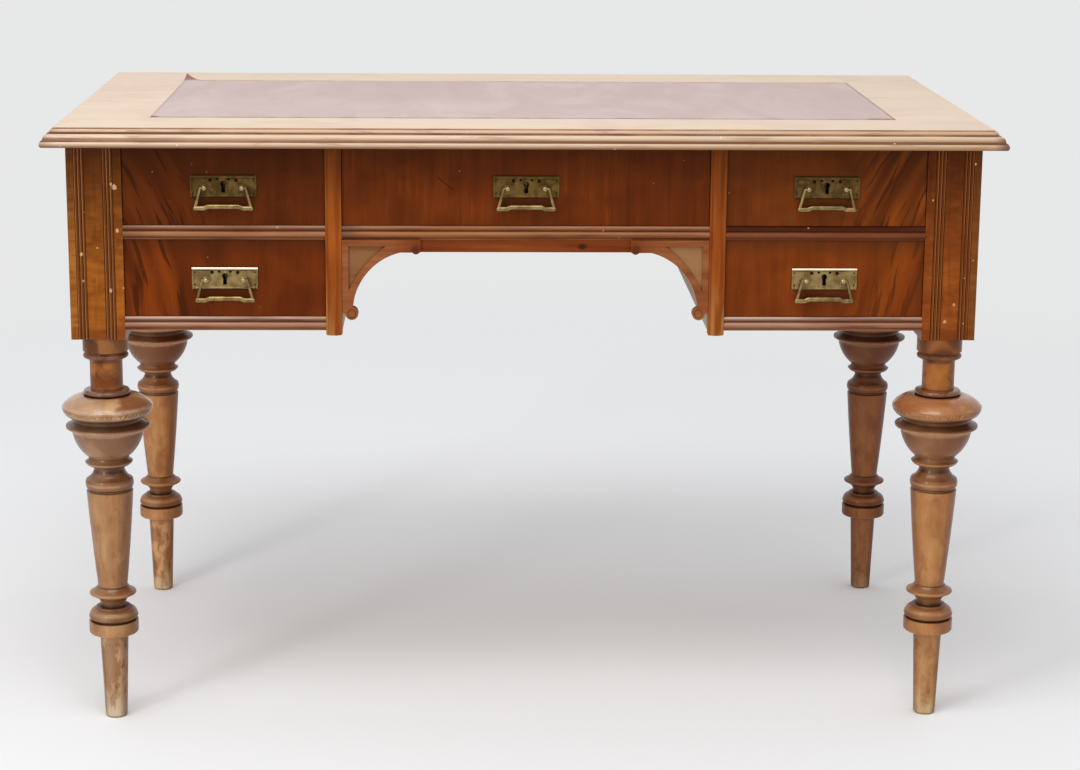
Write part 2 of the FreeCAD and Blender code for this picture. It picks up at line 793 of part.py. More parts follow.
key_rise_share = 0.1
low_rim_share = 0.6
piercing_shares = ((-0.195, 0.27), (-0.085, 0.31), (0.085, 0.31), (0.195, 0.27))
pin_reach_share = 0.85
pin_stand_share = 1.42
arm_spread_share = 0.72
grip_slope_share = 0.7
grip_level_share = 0.55

# A handle post from the plate outwards: radius as shares of the head's, travel as shares of the hinge's.
POST_SHARES = ((1.15, 0.00, 0), (1.15, 0.12, 0), (0.70, 0.22, 0), (0.80, 0.52, -0.06),
               (0.80, 1.48, 0.20), (0.40, 1.64, 0.02))


def drawers():
    upper = (upper_floor, underside, front_top_gap)
    lower = (lower_floor, lower_ceiling, running_gap)
    return [
        Drawer("upper_left", -side_centre, side_clear, *upper),
        Drawer("lower_left", -side_centre, side_clear, *lower),
        Drawer("centre", 0, kneehole_width, *upper),
        Drawer("upper_right", side_centre, side_clear, *upper),
        Drawer("lower_right", side_centre, side_clear, *lower),
    ]


def save_pair(node, left_piece):
    save(node + "_left", left_piece)
    save(node + "_right", mirrored(left_piece))


os.makedirs("parts", exist_ok=True)
save("top_board", top_board())
save("top_moulding", *top_moulding())
save("leather_inset", leather_inset())
save_pair("leg_front", front_leg())
save_pair("leg_back", back_leg())
pilasters = [side_pilaster(-1), side_pilaster(1)]
save("side_pilasters", *pilasters, *[mirrored(strip) for strip in pilasters])
save_pair("side_panel", side_panel())
save("back_panel", back_panel())
save("top_rail", top_rail())
save_pair("partition", partition())
save_pair("stile", stile())
save_pair("rail_upper", upper_side_rail())
save_pair("rail_lower", side_rail(carcass_floor))
save("rail_centre", centre_rail())
save("apron", apron())
save_pair("bracket", bracket())
save("drawer_runners", *drawer_runners())
for drawer in drawers():
    drawer.save_pieces()
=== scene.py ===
import math

import bmesh
import bpy
from mathutils import Matrix, Vector, noise


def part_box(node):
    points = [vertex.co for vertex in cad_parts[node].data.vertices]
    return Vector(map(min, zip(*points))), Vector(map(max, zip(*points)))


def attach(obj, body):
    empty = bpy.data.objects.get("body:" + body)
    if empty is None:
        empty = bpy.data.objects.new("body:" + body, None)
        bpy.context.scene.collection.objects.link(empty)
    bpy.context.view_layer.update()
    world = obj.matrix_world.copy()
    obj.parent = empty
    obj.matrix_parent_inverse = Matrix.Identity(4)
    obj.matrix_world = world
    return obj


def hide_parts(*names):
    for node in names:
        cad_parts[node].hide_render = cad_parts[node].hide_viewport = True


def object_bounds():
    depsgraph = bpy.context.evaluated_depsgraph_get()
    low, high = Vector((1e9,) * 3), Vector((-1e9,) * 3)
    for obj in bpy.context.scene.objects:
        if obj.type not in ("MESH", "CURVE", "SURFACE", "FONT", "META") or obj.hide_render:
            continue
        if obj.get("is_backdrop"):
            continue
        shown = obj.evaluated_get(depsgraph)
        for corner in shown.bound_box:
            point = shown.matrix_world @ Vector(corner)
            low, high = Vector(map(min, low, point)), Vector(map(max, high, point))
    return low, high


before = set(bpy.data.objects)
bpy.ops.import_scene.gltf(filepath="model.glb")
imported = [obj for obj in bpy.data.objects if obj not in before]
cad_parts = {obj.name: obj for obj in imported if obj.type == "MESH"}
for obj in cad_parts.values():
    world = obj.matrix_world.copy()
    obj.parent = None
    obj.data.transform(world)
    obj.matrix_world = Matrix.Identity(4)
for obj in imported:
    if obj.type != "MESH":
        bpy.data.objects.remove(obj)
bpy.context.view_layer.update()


# Turned legs
# Four birch legs, each one length of wood with a square post above and a bun, a bowl, a collar and a
# tapered foot turned below. Thick polish, dirt and painted shade darken the hollows, and the polish is
# worn off the feet.

class Mark:
    """A value over a surface. Sums and products of marks become Math nodes of their finish."""

    def __init__(self, finish, socket):
        self.finish = finish
        self.socket = socket

    def sum(self, operation, *values):
        return self.finish.node("Math", {"operation": operation}, dict(enumerate(values)))

    def __add__(self, other):
        return self.sum("ADD", self, other)

    def __radd__(self, other):
        return self.sum("ADD", other, self)

    def __sub__(self, other):
        return self.sum("SUBTRACT", self, other)

    def __rsub__(self, other):
        return self.sum("SUBTRACT", other, self)

    def __mul__(self, other):
        return self.sum("MULTIPLY", self, other)

    def __rmul__(self, other):
        return self.sum("MULTIPLY", other, self)

    def __truediv__(self, other):
        return self.sum("DIVIDE", self, other)

    def __pow__(self, other):
        return self.sum("POWER", self, other)

    def __abs__(self):
        return self.sum("ABSOLUTE", self)

    def wave(self):
        """A sine wave from 0 to 1 with one crest to each whole number."""
        return self.sum("SINE", self * math.tau) * 0.5 + 0.5

    def rise(self, low, high, bottom=0.0, top=1.0):
        """Eases from bottom to top as the mark goes from low to high."""
        return self.finish.node("MapRange", {"interpolation_type": "SMOOTHSTEP"},
                                {0: self, 1: low, 2: high, 3: bottom, 4: top})

    def fall(self, low, high):
        """Eases from 1 down to 0 as the mark goes from low to high."""
        return self.rise(low, high, 1.0, 0.0)

    def between(self, start, full, fading, gone):
        """Eases up to 1 from start to full, and back to 0 from fading to gone."""
        return self.rise(start, full) * self.fall(fading, gone)

    def near(self, value, full, gone):
        """1 within a distance full of a value, easing to 0 at the distance gone from it."""
        return abs(self - value).fall(full, gone)


def distance(across, along):
    """How far a place is from a point, from its distances along two axes."""
    return (across ** 2 + along ** 2) ** 0.5


class Finish:
    """A material, or the air around the desk, built up node by node on one shader."""

    def __init__(self, name, air=None):
        self.material = air or bpy.data.materials.new(name)
        self.material.use_nodes = True
        self.tree = self.material.node_tree
        self.surface = self.tree.nodes["Background" if air else "Principled BSDF"]

    def node(self, kind, settings=None, sockets=None, output=0):
        """Adds one node: its settings first, then a value or a link for each named socket."""
        node = self.tree.nodes.new("ShaderNode" + kind)
        for name, value in (settings or {}).items():
            if name == "stops":
                self.set_stops(node.color_ramp, value)
            else:
                setattr(node, name, value)
        for name, value in (sockets or {}).items():
            self.put(node.inputs[name], value)
        return Mark(self, node.outputs[output])

    def set_stops(self, ramp, stops):
        while len(ramp.elements) < len(stops):
            ramp.elements.new(0.5)
        for element, (position, colour) in zip(ramp.elements, stops):
            element.position = position
            element.color = (*colour, 1)

    def put(self, socket, value):
        if isinstance(value, Mark):
            self.tree.links.new(value.socket, socket)
        elif socket.type == "RGBA":
            socket.default_value = (*value[:3], 1)
        else:
            socket.default_value = value

    def place(self, shift=(0, 0, 0)):
        """Where the surface is, in metres from the middle of the desk's floor."""
        own = self.node("TexCoord", output=3)
        return self.node("VectorMath", {"operation": "ADD"}, {0: own, 1: shift})

    def axes(self, place):
        split = self.node("SeparateXYZ", None, {0: place}).socket.node
        return [Mark(self, out) for out in split.outputs]

    def outward(self):
        """The direction that the surface faces, along each of the three axes."""
        return self.axes(self.node("NewGeometry", output=1))

    def joined(self, x, y, z):
        return self.node("CombineXYZ", None, {0: x, 1: y, 2: z})

    def cloud(self, place, size, stretch=(1, 1, 1), detail=3.0, rough=0.5, bend=0.0):
        """Soft random patches of about that size in metres, drawn out along each axis by stretch."""
        scale = tuple(1 / (size * pull) for pull in stretch)
        drawn = self.node("VectorMath", {"operation": "MULTIPLY"}, {0: place, 1: scale})
        return self.node("TexNoise", None, {"Vector": drawn, "Scale": 1.0, "Detail": detail,
                                            "Roughness": rough, "Distortion": bend})

    def chips(self, place, size, share):
        """Sparse small flecks, 1 inside and 0 outside, over about that share of the surface."""
        spots = self.node("TexVoronoi", {"feature": "F1"},
                          {"Vector": place, "Scale": 1 / size, "Randomness": 1.0})
        gate = self.cloud(place, size * 2.3, detail=2)
        reach = 0.10 + 0.22 * share
        return spots.fall(reach * 0.7, reach) * gate.rise(0.62 - share * 0.3, 0.66 - share * 0.3)

    def hollows(self, reach, alone=True):
        """1 deep in grooves and corners of that reach, 0 on open faces."""
        return 1 - self.node("AmbientOcclusion", {"samples": 8, "only_local": alone},
                             {"Distance": reach}, output=1)

    def edges(self, reach):
        """1 on sharp outer edges, 0 a reach away from them."""
        return 1 - self.node("AmbientOcclusion", {"samples": 8, "only_local": True, "inside": True},
                             {"Distance": reach}, output=1)

    def mix(self, share, under, over, way="MIX"):
        """Colour under with colour over laid on it."""
        return self.node("Mix", {"data_type": "RGBA", "blend_type": way},
                         {0: share, 6: under, 7: over}, output=2)

    def coats(self, colour, *coats):
        """Lays further colours over one, in order, each given after its share."""
        for share, over in coats:
            colour = self.mix(share, colour, over)
        return colour

    def toned(self, colour, tone):
        """The colour with its red, green and blue each multiplied."""
        return self.mix(1.0, colour, tone, "MULTIPLY")

    def ramp(self, mark, *stops):
        return self.node("ValToRGB", {"stops": stops}, {0: mark})

    def relief(self, height, depth):
        """Bumps of that depth in metres."""
        return self.node("Bump", None, {"Strength": 1.0, "Distance": depth, "Height": height})

    def wear(self, *names, smooth=False):
        """Puts this finish on CAD nodes. Smooth ones shade round, with their arrises kept crisp."""
        for name in names:
            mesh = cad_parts[name].data
            mesh.materials.clear()
            mesh.materials.append(self.material)
            if smooth:
                mesh.shade_smooth()
                mesh.set_sharp_from_angle(angle=math.radians(28))

    def set(self, **sockets):
        """Sets the surface's own sockets; words in a socket's name are joined by an underscore."""
        for name, value in sockets.items():
            self.put(self.surface.inputs[name.replace("_", " ")], value)
        return self

    def shellac(self, **sockets):
        """The same, for polished wood: its gloss is low and takes the warm colour of the shellac."""
        return self.set(Specular_IOR_Level=0.13, Specular_Tint=(1.0, 0.52, 0.26), **sockets)


def grain(finish, place, along, fine=1.0):
    """Streaks, broad figure and pores of wood whose fibres run along axis 0, 1 or 2."""
    def run(times):
        return tuple(times if axis == along else 1 for axis in range(3))

    streaks = finish.cloud(place, 0.0045 * fine, run(22), detail=4, rough=0.6, bend=0.3)
    figure = finish.cloud(place, 0.022 * fine, run(7), detail=2, bend=0.8)
    pores = finish.cloud(place, 0.0009 * fine, run(26), detail=1)
    return streaks, figure, pores


LEG_HONEY = (0.37, 0.170, 0.060)
LEG_LIGHT = (0.50, 0.270, 0.110)
LEG_BROWN = (0.17, 0.055, 0.018)
LEG_BRUISE = (0.25, 0.110, 0.047)
HOLLOW_DIRT_AND_SHADE = (0.030, 0.011, 0.0045)
LEG_CHIP = (0.68, 0.43, 0.22)
DEEP_BROWN = (0.050, 0.017, 0.007)
BUN_TAN = (0.54, 0.360, 0.230)
BUN_RED = (0.43, 0.215, 0.100)
BUN_WORN = (0.62, 0.40, 0.190)
BUN_RIM = (0.255, 0.108, 0.033)
BOWL_GREY = (0.24, 0.110, 0.054)
RING_CREST = (0.52, 0.315, 0.165)
FOOT_BARE = (0.60, 0.390, 0.215)
FOOT_CHALK = (0.66, 0.58, 0.43)
POST_GOLD = (0.43, 0.134, 0.0175)
POST_ORANGE = (0.215, 0.054, 0.0060)
POST_DARK = (0.042, 0.0094, 0.0020)
REED_BROWN = (0.115, 0.034, 0.0095)
REED_LIGHT = (0.42, 0.175, 0.056)
# Each leg's tone, and how far its bowl is darkened and its foot browned and stained. The back right
# leg's darker tone is partly painted shade.
LEGS = {"leg_front_left": ((1.0, 0.96, 0.92), 0.0, 0.0, 1.0),
        "leg_front_right": ((1.02, 0.84, 0.63), 0.34, 0.42, 0.50),
        "leg_back_left": ((1.14, 0.96, 0.81), 0.66, 0.0, 0.85),
        "leg_back_right": ((0.61, 0.41, 0.33), 0.32, 0.42, 0.50)}

leg_middle = 0.5335
foot_height, bowl_foot, bowl_mouth, bun_edge, bun_crown = 0.118, 0.3519, 0.4035, 0.4192, 0.4330
collar_top, upper_collar, drum_foot, turned_height = 0.4416, 0.4765, 0.4910, 0.510
lower_rings = (0.1325, 0.1335, 0.1760, 0.1790)
upper_rings = (0.3085, 0.3110, 0.3510, 0.3530)
ledges = (0.3000, 0.3040, 0.4035, 0.4050)
bowl_lip = (0.3835, 0.3870, 0.3915, 0.3930)
crests = ((0.3450, 0.0030), (0.3170, 0.0030), (0.1690, 0.0034), (0.1435, 0.0036))
grooves = ((0.3340, 0.0038), (0.3100, 0.0016), (0.3385, 0.0018), (0.1535, 0.0030), (0.1780, 0.0012))
post_outer_face, post_width, post_front = 0.5635, 0.059, -0.306
reed_pitch, reeds_run, reed_edge = 0.0044, 0.0132, 0.0105
POST_CHIPS = {
    "leg_front_left": [(-0.5130, 0.704, 0.0034), (-0.5105, 0.649, 0.0022), (-0.5560, 0.619, 0.0024),
                       (-0.5210, 0.573, 0.0022), (-0.5170, 0.7075, 0.0018), (-0.5545, 0.585, 0.0015)],
    "leg_front_right": [(0.5440, 0.556, 0.0018), (0.5330, 0.534, 0.0022), (0.5120, 0.690, 0.0014)],
}


class LegPolish(Finish):
    """The polish of one leg. Heights are above the floor, and all its parts share the same clouds."""

    def __init__(self, number, leg):
        super().__init__("polish_" + leg)
        self.leg = leg
        self.tone, self.bowl_dark, self.foot_brown, self.foot_stains = LEGS[leg]
        self.wood = self.place((0.37 * number, 0.61 * number, 0))
        self.x, self.y, self.z = self.axes(self.place())
        self.streaks, self.figure, self.pores = grain(self, self.wood, 2)
        self.mottle = self.cloud(self.wood, 0.019, (1.2, 1.2, 1.1), detail=4, rough=0.55, bend=0.7)
        self.soft = self.cloud(self.wood, 0.034, (1, 1, 1.2), detail=2, bend=0.5)
        self.curl = self.cloud(self.wood, 0.010, (2.6, 2.6, 0.7), detail=3, bend=0.5)
        self.flecks = self.cloud(self.wood, 0.0016, (1, 1, 4.5), detail=1)
        self.bruises = self.cloud(self.wood, 0.016, (1, 1, 2.2), detail=4, rough=0.6, bend=0.4)
        self.scuffs = self.cloud(self.wood, 0.010, (1, 1, 2.6), detail=4, rough=0.6)
        self.foot_wood = self.z.fall(foot_height - 0.018, foot_height)
        self.bared = (self.z + self.scuffs * 0.080).fall(0.040, 0.082)

    def shaft(self):
        """Honey-coloured wood with brown clouds, flecks and bruises."""
        return self.coats(
            LEG_HONEY,
            (self.streaks.rise(0.25, 0.80) * 0.45 + self.soft.rise(0.35, 0.65) * 0.45, LEG_LIGHT),
            (self.mottle.rise(0.50, 0.80) * 0.30, LEG_BROWN),
            (self.flecks.rise(0.66, 0.74) * 0.22, LEG_BROWN),
            (self.bruises.rise(0.44, 0.66) * 0.66, LEG_BRUISE))

    def bowl(self):
        """The greyish bowl, pale on its lip, with painted shade on the shelf inside it, under the bun."""
        return self.coats(
            BOWL_GREY,
            (self.soft.rise(0.42, 0.66) * 0.5, (0.32, 0.165, 0.088)),
            # Painted shade on the shelf under the bun.
            (self.z.rise(0.3925, 0.3950) * 0.85, (0.130, 0.050, 0.025)),
            (self.bowl_dark, (0.115, 0.036, 0.018)),
            (self.z.between(*bowl_lip) * (0.35 + self.flecks.rise(0.4, 0.6) * 0.4), BUN_TAN))

    def bun(self):
        """The bun, worn in clouds. Those in front are worn to amber on one side."""
        bun = self.coats(
            BUN_TAN,
            (self.soft.rise(0.36, 0.66) * 0.9, BUN_RED),
            (self.curl.rise(0.50, 0.78) * self.soft.rise(0.38, 0.60) * 0.55, BUN_WORN),
            (self.bruises.rise(0.48, 0.66) * 0.48, (0.21, 0.080, 0.030)))
        if self.leg == "leg_front_right":
            across = self.x - leg_middle + (self.curl - 0.5) * 0.030
            left_side = self.z.rise(bun_edge - 0.0022, bun_edge + 0.0008) * across.fall(-0.042, -0.014)
            bun = self.coats(
                bun,
                (0.44 + self.curl.rise(0.38, 0.62) * 0.50, (0.34, 0.128, 0.042)),
                (left_side * 0.66, (0.30, 0.078, 0.016)))
        if self.leg == "leg_front_left":
            across = self.x + leg_middle + (self.curl - 0.5) * 0.026
            facing = self.z.rise(bun_edge + 0.0008, bun_edge + 0.0043) * self.y.fall(-0.292, -0.280)
            bun = self.coats(
                bun,
                (facing * across.near(0.010, 0.002, 0.010) * 0.42, (0.66, 0.40, 0.16)),
                (facing * across.rise(0.014, 0.024) * 0.84, (0.245, 0.062, 0.012)),
                (facing * across.fall(-0.052, 0.004) * 0.42, (0.25, 0.118, 0.060)))
        # Painted shade: a dark band under the bun's widest edge, with pale specks on it.
        rim = self.z.between(bun_edge - 0.0090, bun_edge - 0.0060, bun_edge - 0.0030, bun_edge - 0.0010)
        specks = rim * self.flecks.rise(0.50, 0.60) * self.curl.rise(0.36, 0.50)
        return self.coats(
            bun,
            (rim * 0.75, BUN_RIM),
            (specks * (0.85 if self.leg == "leg_front_left" else 0.35), (0.78, 0.56, 0.27)),
            # Painted shade in the gap between the bun and the bowl.
            (self.z.fall(bun_edge - 0.0125, bun_edge - 0.0065) * 0.92, (0.060, 0.020, 0.008)))

    def neck(self):
        """The red-brown neck between two greyish collars, and the drum under the post."""
        collar = self.mix(self.mottle.rise(0.42, 0.66), (0.22, 0.095, 0.052), (0.10, 0.038, 0.018))
        drum = self.mix(self.soft.rise(0.40, 0.62), (0.115, 0.036, 0.012), (0.31, 0.120, 0.034))
        plain = self.z.between(collar_top - 0.001, collar_top + 0.0008, upper_collar - 0.001,
                               upper_collar + 0.001)
        return self.coats(
            (0.20, 0.050, 0.0075),
            (self.soft.rise(0.40, 0.60), (0.42, 0.145, 0.028)),
            (0.55 if self.leg == "leg_front_right" else 0.0, (0.46, 0.215, 0.060)),
            (self.mottle.rise(0.50, 0.70) * 0.6, (0.085, 0.024, 0.008)),
            (1 - plain, collar),
            (self.z.rise(drum_foot - 0.0005, drum_foot + 0.0005) * 0.9, drum))

    def ringed(self, colour):
        """The two groups of rings, browner, with pale crests, partly worn and partly painted highlight, and
        painted shade in the grooves.
        """
        groups = self.z.between(*upper_rings) + self.z.between(*lower_rings)
        brown = self.mix(self.soft.rise(0.36, 0.64), (0.235, 0.098, 0.043), (0.140, 0.047, 0.018))
        colour = self.mix(groups * 0.85, colour, brown)
        # Painted highlight along each crest, partly worn.
        for height, reach in crests:
            crest = self.z.near(height, 0.0006, reach) * (0.35 + self.mottle.rise(0.35, 0.60) * 0.25)
            colour = self.mix(crest, colour, RING_CREST)
        # Painted shade in each groove.
        for height, reach in grooves:
            colour = self.mix(self.z.near(height, reach * 0.4, reach) * 0.85, colour, (0.050, 0.016, 0.007))
        return colour

    def footed(self, colour):
        """The foot, stripped and stained in patches, chalky lower down and grimy at the floor."""
        patches = self.cloud(self.wood, 0.020, (1, 1, 1.8), detail=3)
        stained = self.foot_wood * self.foot_stains
        return self.coats(
            colour,
            (self.foot_wood * 0.85, FOOT_BARE),
            (self.foot_wood * self.foot_brown, (0.32, 0.155, 0.068)),
            (stained * patches.rise(0.46, 0.56) * 0.78, (0.25, 0.110, 0.050)),
            (stained * self.scuffs.rise(0.52, 0.62) * 0.70, (0.15, 0.060, 0.028)),
            (self.bared * 0.75, FOOT_CHALK),
            (self.z.fall(0.0006, 0.0034) * 0.8, (0.16, 0.12, 0.080)))

    def turned(self):
        """The whole turning, with painted shade on its flanks, browner ledges and a painted highlight along
        one side.
        """
        bulbs = self.mix(self.z.rise(bowl_mouth - 0.001, bowl_mouth + 0.001), self.bowl(), self.bun())
        colour = self.coats(
            self.shaft(),
            (self.z.rise(bowl_foot - 0.002, bowl_foot + 0.002), bulbs),
            (self.z.rise(bun_crown - 0.0005, bun_crown + 0.0005), self.neck()))
        face_right, face_back, face_up = self.outward()
        # Painted shade on both flanks, and a painted highlight on the side towards the left lamp.
        flank = abs(face_right + 0.14).rise(0.42, 1.02) * self.z.fall(turned_height - 0.002, turned_height)
        painted_highlight = face_right.near(-0.30, 0.04, 0.55) * self.z.fall(0.428, 0.440)
        return self.coats(
            self.footed(self.ringed(colour)),
            (flank * 0.66, (0.120, 0.042, 0.016)),
            (face_up.rise(0.45, 0.85) * self.z.between(*ledges) * 0.62, (0.105, 0.038, 0.015)),
            (painted_highlight * (0.08 + self.soft.rise(0.35, 0.60) * 0.14), (0.66, 0.45, 0.26)))

    def reeded(self, colour):
        """Old polish and painted shade between the reeds of the two groups, their crests in fine light lines
        of painted highlight, partly worn.
        """
        inward = post_outer_face - abs(self.x)
        far, blur = post_width - reed_edge - reeds_run, 0.0004
        group = inward.fall(reeds_run - blur, reeds_run + blur) + inward.between(
            far - blur, far + blur, far + reeds_run - blur, far + reeds_run + blur)
        group = group * self.y.fall(post_front, post_front + 0.003)
        second = inward.rise(far - 0.002, far - 0.001)
        crest = ((inward - second * far) / reed_pitch - 0.12).wave()
        wear_and_highlight = group * crest.rise(0.72, 0.98) * self.figure.rise(0.30, 0.55, 0.25, 0.80)
        # Painted shade and old polish over the reeds, and a painted highlight, partly worn, on their crests.
        return self.coats(colour, (group * 0.78, REED_BROWN), (wear_and_highlight, REED_LIGHT))

    def post(self):
        """The square post, golden with a curly figure, and darker towards the top with stain and painted
        shade under the top.
        """
        right_front = self.leg == "leg_front_right"
        colour = self.coats(
            POST_ORANGE,
            (self.curl.rise(0.30, 0.70) * 0.40 + self.soft.rise(0.30, 0.70) * 0.45 + 0.10, POST_GOLD),
            (self.streaks.rise(0.50, 0.80) * 0.32, POST_DARK),
            (self.mottle.rise(0.52, 0.78) * 0.38, POST_DARK),
            # Darker towards the top: stain and painted shade under the overhanging top.
            (self.z.rise(0.560, 0.765) * (0.74 if right_front else 0.85), POST_DARK),
            (self.z.fall(0.520, 0.527) * 0.55, (0.14, 0.030, 0.0075)))
        if right_front:
            colour = self.toned(colour, (0.80, 0.76, 1.15))
        return self.reeded(colour) if "front" in self.leg else colour

    def flaked(self):
        """1 in the places where the polish has been knocked off, some of them at places known."""
        chips = self.chips(self.wood, 0.011, 0.10) * self.z.rise(0.43, 0.52)
        for spot_x, spot_z, radius in POST_CHIPS.get(self.leg, []):
            reach = distance(self.x - spot_x, (self.z - spot_z) * 0.8) + (self.flecks - 0.5) * radius
            chips = chips + reach.fall(radius * 0.7, radius)
        return chips

    def finish_leg(self):
        upper = self.z.rise(turned_height, turned_height + 0.003)
        # Dirt and painted shade in the hollows, near and broad. The arrises are pale, partly worn and partly
        # painted highlight.
        dirt_and_shade = self.hollows(0.0040).rise(0.22, 0.62)
        deep = self.hollows(0.018).rise(0.26, 0.72) * (1 - upper)
        wear_and_highlight = self.edges(0.0011).rise(0.45, 0.78) * self.mottle.rise(0.30, 0.50)
        chips = self.flaked()
        colour = self.coats(
            self.turned(),
            (self.z.rise(turned_height - 0.0008, turned_height + 0.0002), self.post()),
            (deep * 0.78, DEEP_BROWN),
            (dirt_and_shade * (0.9 - upper * 0.25), HOLLOW_DIRT_AND_SHADE),
            (wear_and_highlight * 0.6, (0.56, 0.30, 0.12)),
            (chips.rise(0.0, 1.0) * 0.85, LEG_CHIP))
        above_bun = self.z.rise(collar_top, collar_top + 0.0008)
        on_bun = self.z.rise(bun_edge - 0.0022, bun_edge + 0.0003) * (1 - above_bun)
        shine = on_bun * 0.45 - above_bun * 0.20 + (0.28 if "back" in self.leg else 0.48)
        shine = shine * (1 - upper) * (1 - self.bared) * (1 - self.foot_wood * 0.6) * (1 - deep * 0.8)
        self.shellac(
            Base_Color=self.toned(colour, self.tone),
            Roughness=0.34 + self.streaks * 0.10 + self.bared * 0.35 + dirt_and_shade * 0.3 + chips * 0.4,
            Coat_Weight=shine + upper * 0.05, Coat_Roughness=0.15,
            Normal=self.relief(self.pores * 0.3 + self.streaks * 0.3 - chips * 1.2, 0.00025))
        self.wear(self.leg, smooth=True)


for number, name in enumerate(LEGS):
    LegPolish(number, name).finish_leg()


# Side pilasters
# Reeded strips of the same wood glued to the outer faces of the four posts. From the front only their
# golden edges show beside the posts.

def wood(name, shift, along):
    """A finish, the place in its wood, its three axes and its grain."""
    finish = Finish(name)
    place = finish.place(shift)
    return finish, place, *finish.axes(finish.place()), *grain(finish, place, along)


polish, place, x, y, z, streaks, figure, pores = wood("polish_pilasters", (0.11, 0.0, 0.3), 2)
curl = polish.cloud(place, 0.011, (2.4, 2.4, 0.6), detail=3, bend=0.5)
chips = polish.chips(place, 0.014, 0.2)
colour = polish.coats(
    (0.26, 0.074, 0.0105),
    (curl.rise(0.30, 0.70), (0.40, 0.142, 0.024)),
    (streaks.rise(0.50, 0.75) * 0.4, POST_DARK),
    # Darker towards the top: stain and painted shade under the overhanging top.
    (z.rise(0.585, 0.770) * 0.78, POST_DARK),
    (x.rise(-0.1, 0.1) * 0.6, (0.120, 0.032, 0.0075)),
    # Dirt and painted shade in the hollows.
    (polish.hollows(0.004).rise(0.25, 0.65) * 0.88, HOLLOW_DIRT_AND_SHADE),
    (polish.edges(0.002).rise(0.4, 0.75) * figure.rise(0.40, 0.58) * 0.6, LEG_LIGHT),
    (chips * 0.9, (0.70, 0.46, 0.24)))
polish.shellac(Base_Color=colour, Roughness=0.38 + streaks * 0.18, Coat_Weight=0.06, Coat_Roughness=0.20,
               Normal=polish.relief(pores * 0.3 + streaks * 0.3 - chips, 0.0003))
polish.wear("side_pilasters", smooth=True)


# Side and back panels
# Flat boards tongued into the posts. The outsides have the old brown polish, and the grain of the
# sides runs to the back while that of the back panel runs across.

PANEL_TONES = ((0.075, 0.021, 0.007), (0.23, 0.070, 0.018), (0.34, 0.125, 0.035))


def board_polish(name, along, shift, tones, worn=0.5):
    """Old shellac over a plain board with its grain along one axis, in a dark, middle and light tone."""
    dark, middle, light = tones
    coat = Finish(name)
    place = coat.place(shift)
    streaks, figure, pores = grain(coat, place, along, 1.3)
    stains = coat.cloud(place, 0.09, detail=4, bend=0.5)
    wear_and_highlight = coat.edges(0.0018).rise(0.35, 0.75) * stains.rise(0.40, 0.58)
    colour = coat.coats(
        coat.ramp(streaks * 0.55 + figure * 0.45, (0.30, dark), (0.46, middle), (0.68, light)),
        (stains.rise(0.52, 0.75) * 0.35, dark),
        (pores.rise(0.58, 0.70) * 0.45, dark),
        # Dirt and painted shade in the hollows.
        (coat.hollows(0.005).rise(0.25, 0.65) * 0.8, HOLLOW_DIRT_AND_SHADE),
        (wear_and_highlight * worn, light))
    coat.shellac(Base_Color=colour, Roughness=0.40 + stains * 0.20,
                 Normal=coat.relief(pores * 0.5 + streaks * 0.3, 0.00022))
    return coat


board_polish("polish_sides", 1, (0.2, 0, 0), PANEL_TONES).wear("side_panel_left", "side_panel_right")
board_polish("polish_back", 0, (0, 0.4, 0.1), PANEL_TONES).wear("back_panel")


# Partitions and runners
# Bare softwood inside the carcass: the walls beside the kneehole, the sticks that the drawers run on
# and the rail under the top. The walls beside the kneehole were stained, thinly.

BARE_TONES = ((0.20, 0.105, 0.048), (0.42, 0.27, 0.14), (0.55, 0.39, 0.23))
STAINED_TONES = ((0.22, 0.14, 0.09), (0.42, 0.31, 0.22), (0.52, 0.41, 0.31))

stained = board_polish("stain_partitions", 1, (0, 0.7, 0.5), STAINED_TONES, 0.2)
stained.wear("partition_left", "partition_right")
board_polish("bare_runners", 1, (0.3, 0.2, 0), BARE_TONES, 0.2).wear("drawer_runners")
board_polish("bare_top_rail", 0, (0.3, 0.2, 0.7), BARE_TONES, 0.2).wear("top_rail")


# Drawer rails
# Five rails with two rounded beads on the front edge. The crests of the beads are pale, partly worn by
# hands and drawers and partly painted highlight. Polish, dust and painted shade darken the hollows,
# painted shade the undersides of the beads, and the right upper rail has the painted shadow of its drawer.

RAIL_DARK = (0.080, 0.024, 0.012)
RAILS = {"upper": ["rail_upper_left", "rail_upper_right"], "lower": ["rail_lower_left", "rail_lower_right"],
         "centre": ["rail_centre"]}
RAIL_TONES = {
    "upper": ((0.29, 0.104, 0.036), (0.385, 0.168, 0.072), (0.40, 0.235, 0.160)),
    "lower": ((0.33, 0.135, 0.070), (0.42, 0.215, 0.130), (0.60, 0.42, 0.33)),
    "centre": ((0.26, 0.078, 0.023), (0.37, 0.140, 0.048), (0.42, 0.225, 0.125)),
}
BEAD_WEAR_AND_HIGHLIGHT = {"upper": (0.42, 0.30), "lower": (0.48, 0.50), "centre": (0.62, 0.0)}
QUIRK_SHADE = {"upper": 0.66, "lower": 0.40, "centre": 0.30}
RAIL_ENDS = {"upper": 0.45, "lower": 0.15, "centre": 0.15}
RAIL_DUST_AND_SHADE = {"upper": 0.28, "lower": 0.28, "centre": 0.15}
upper_bead_height = 0.0070

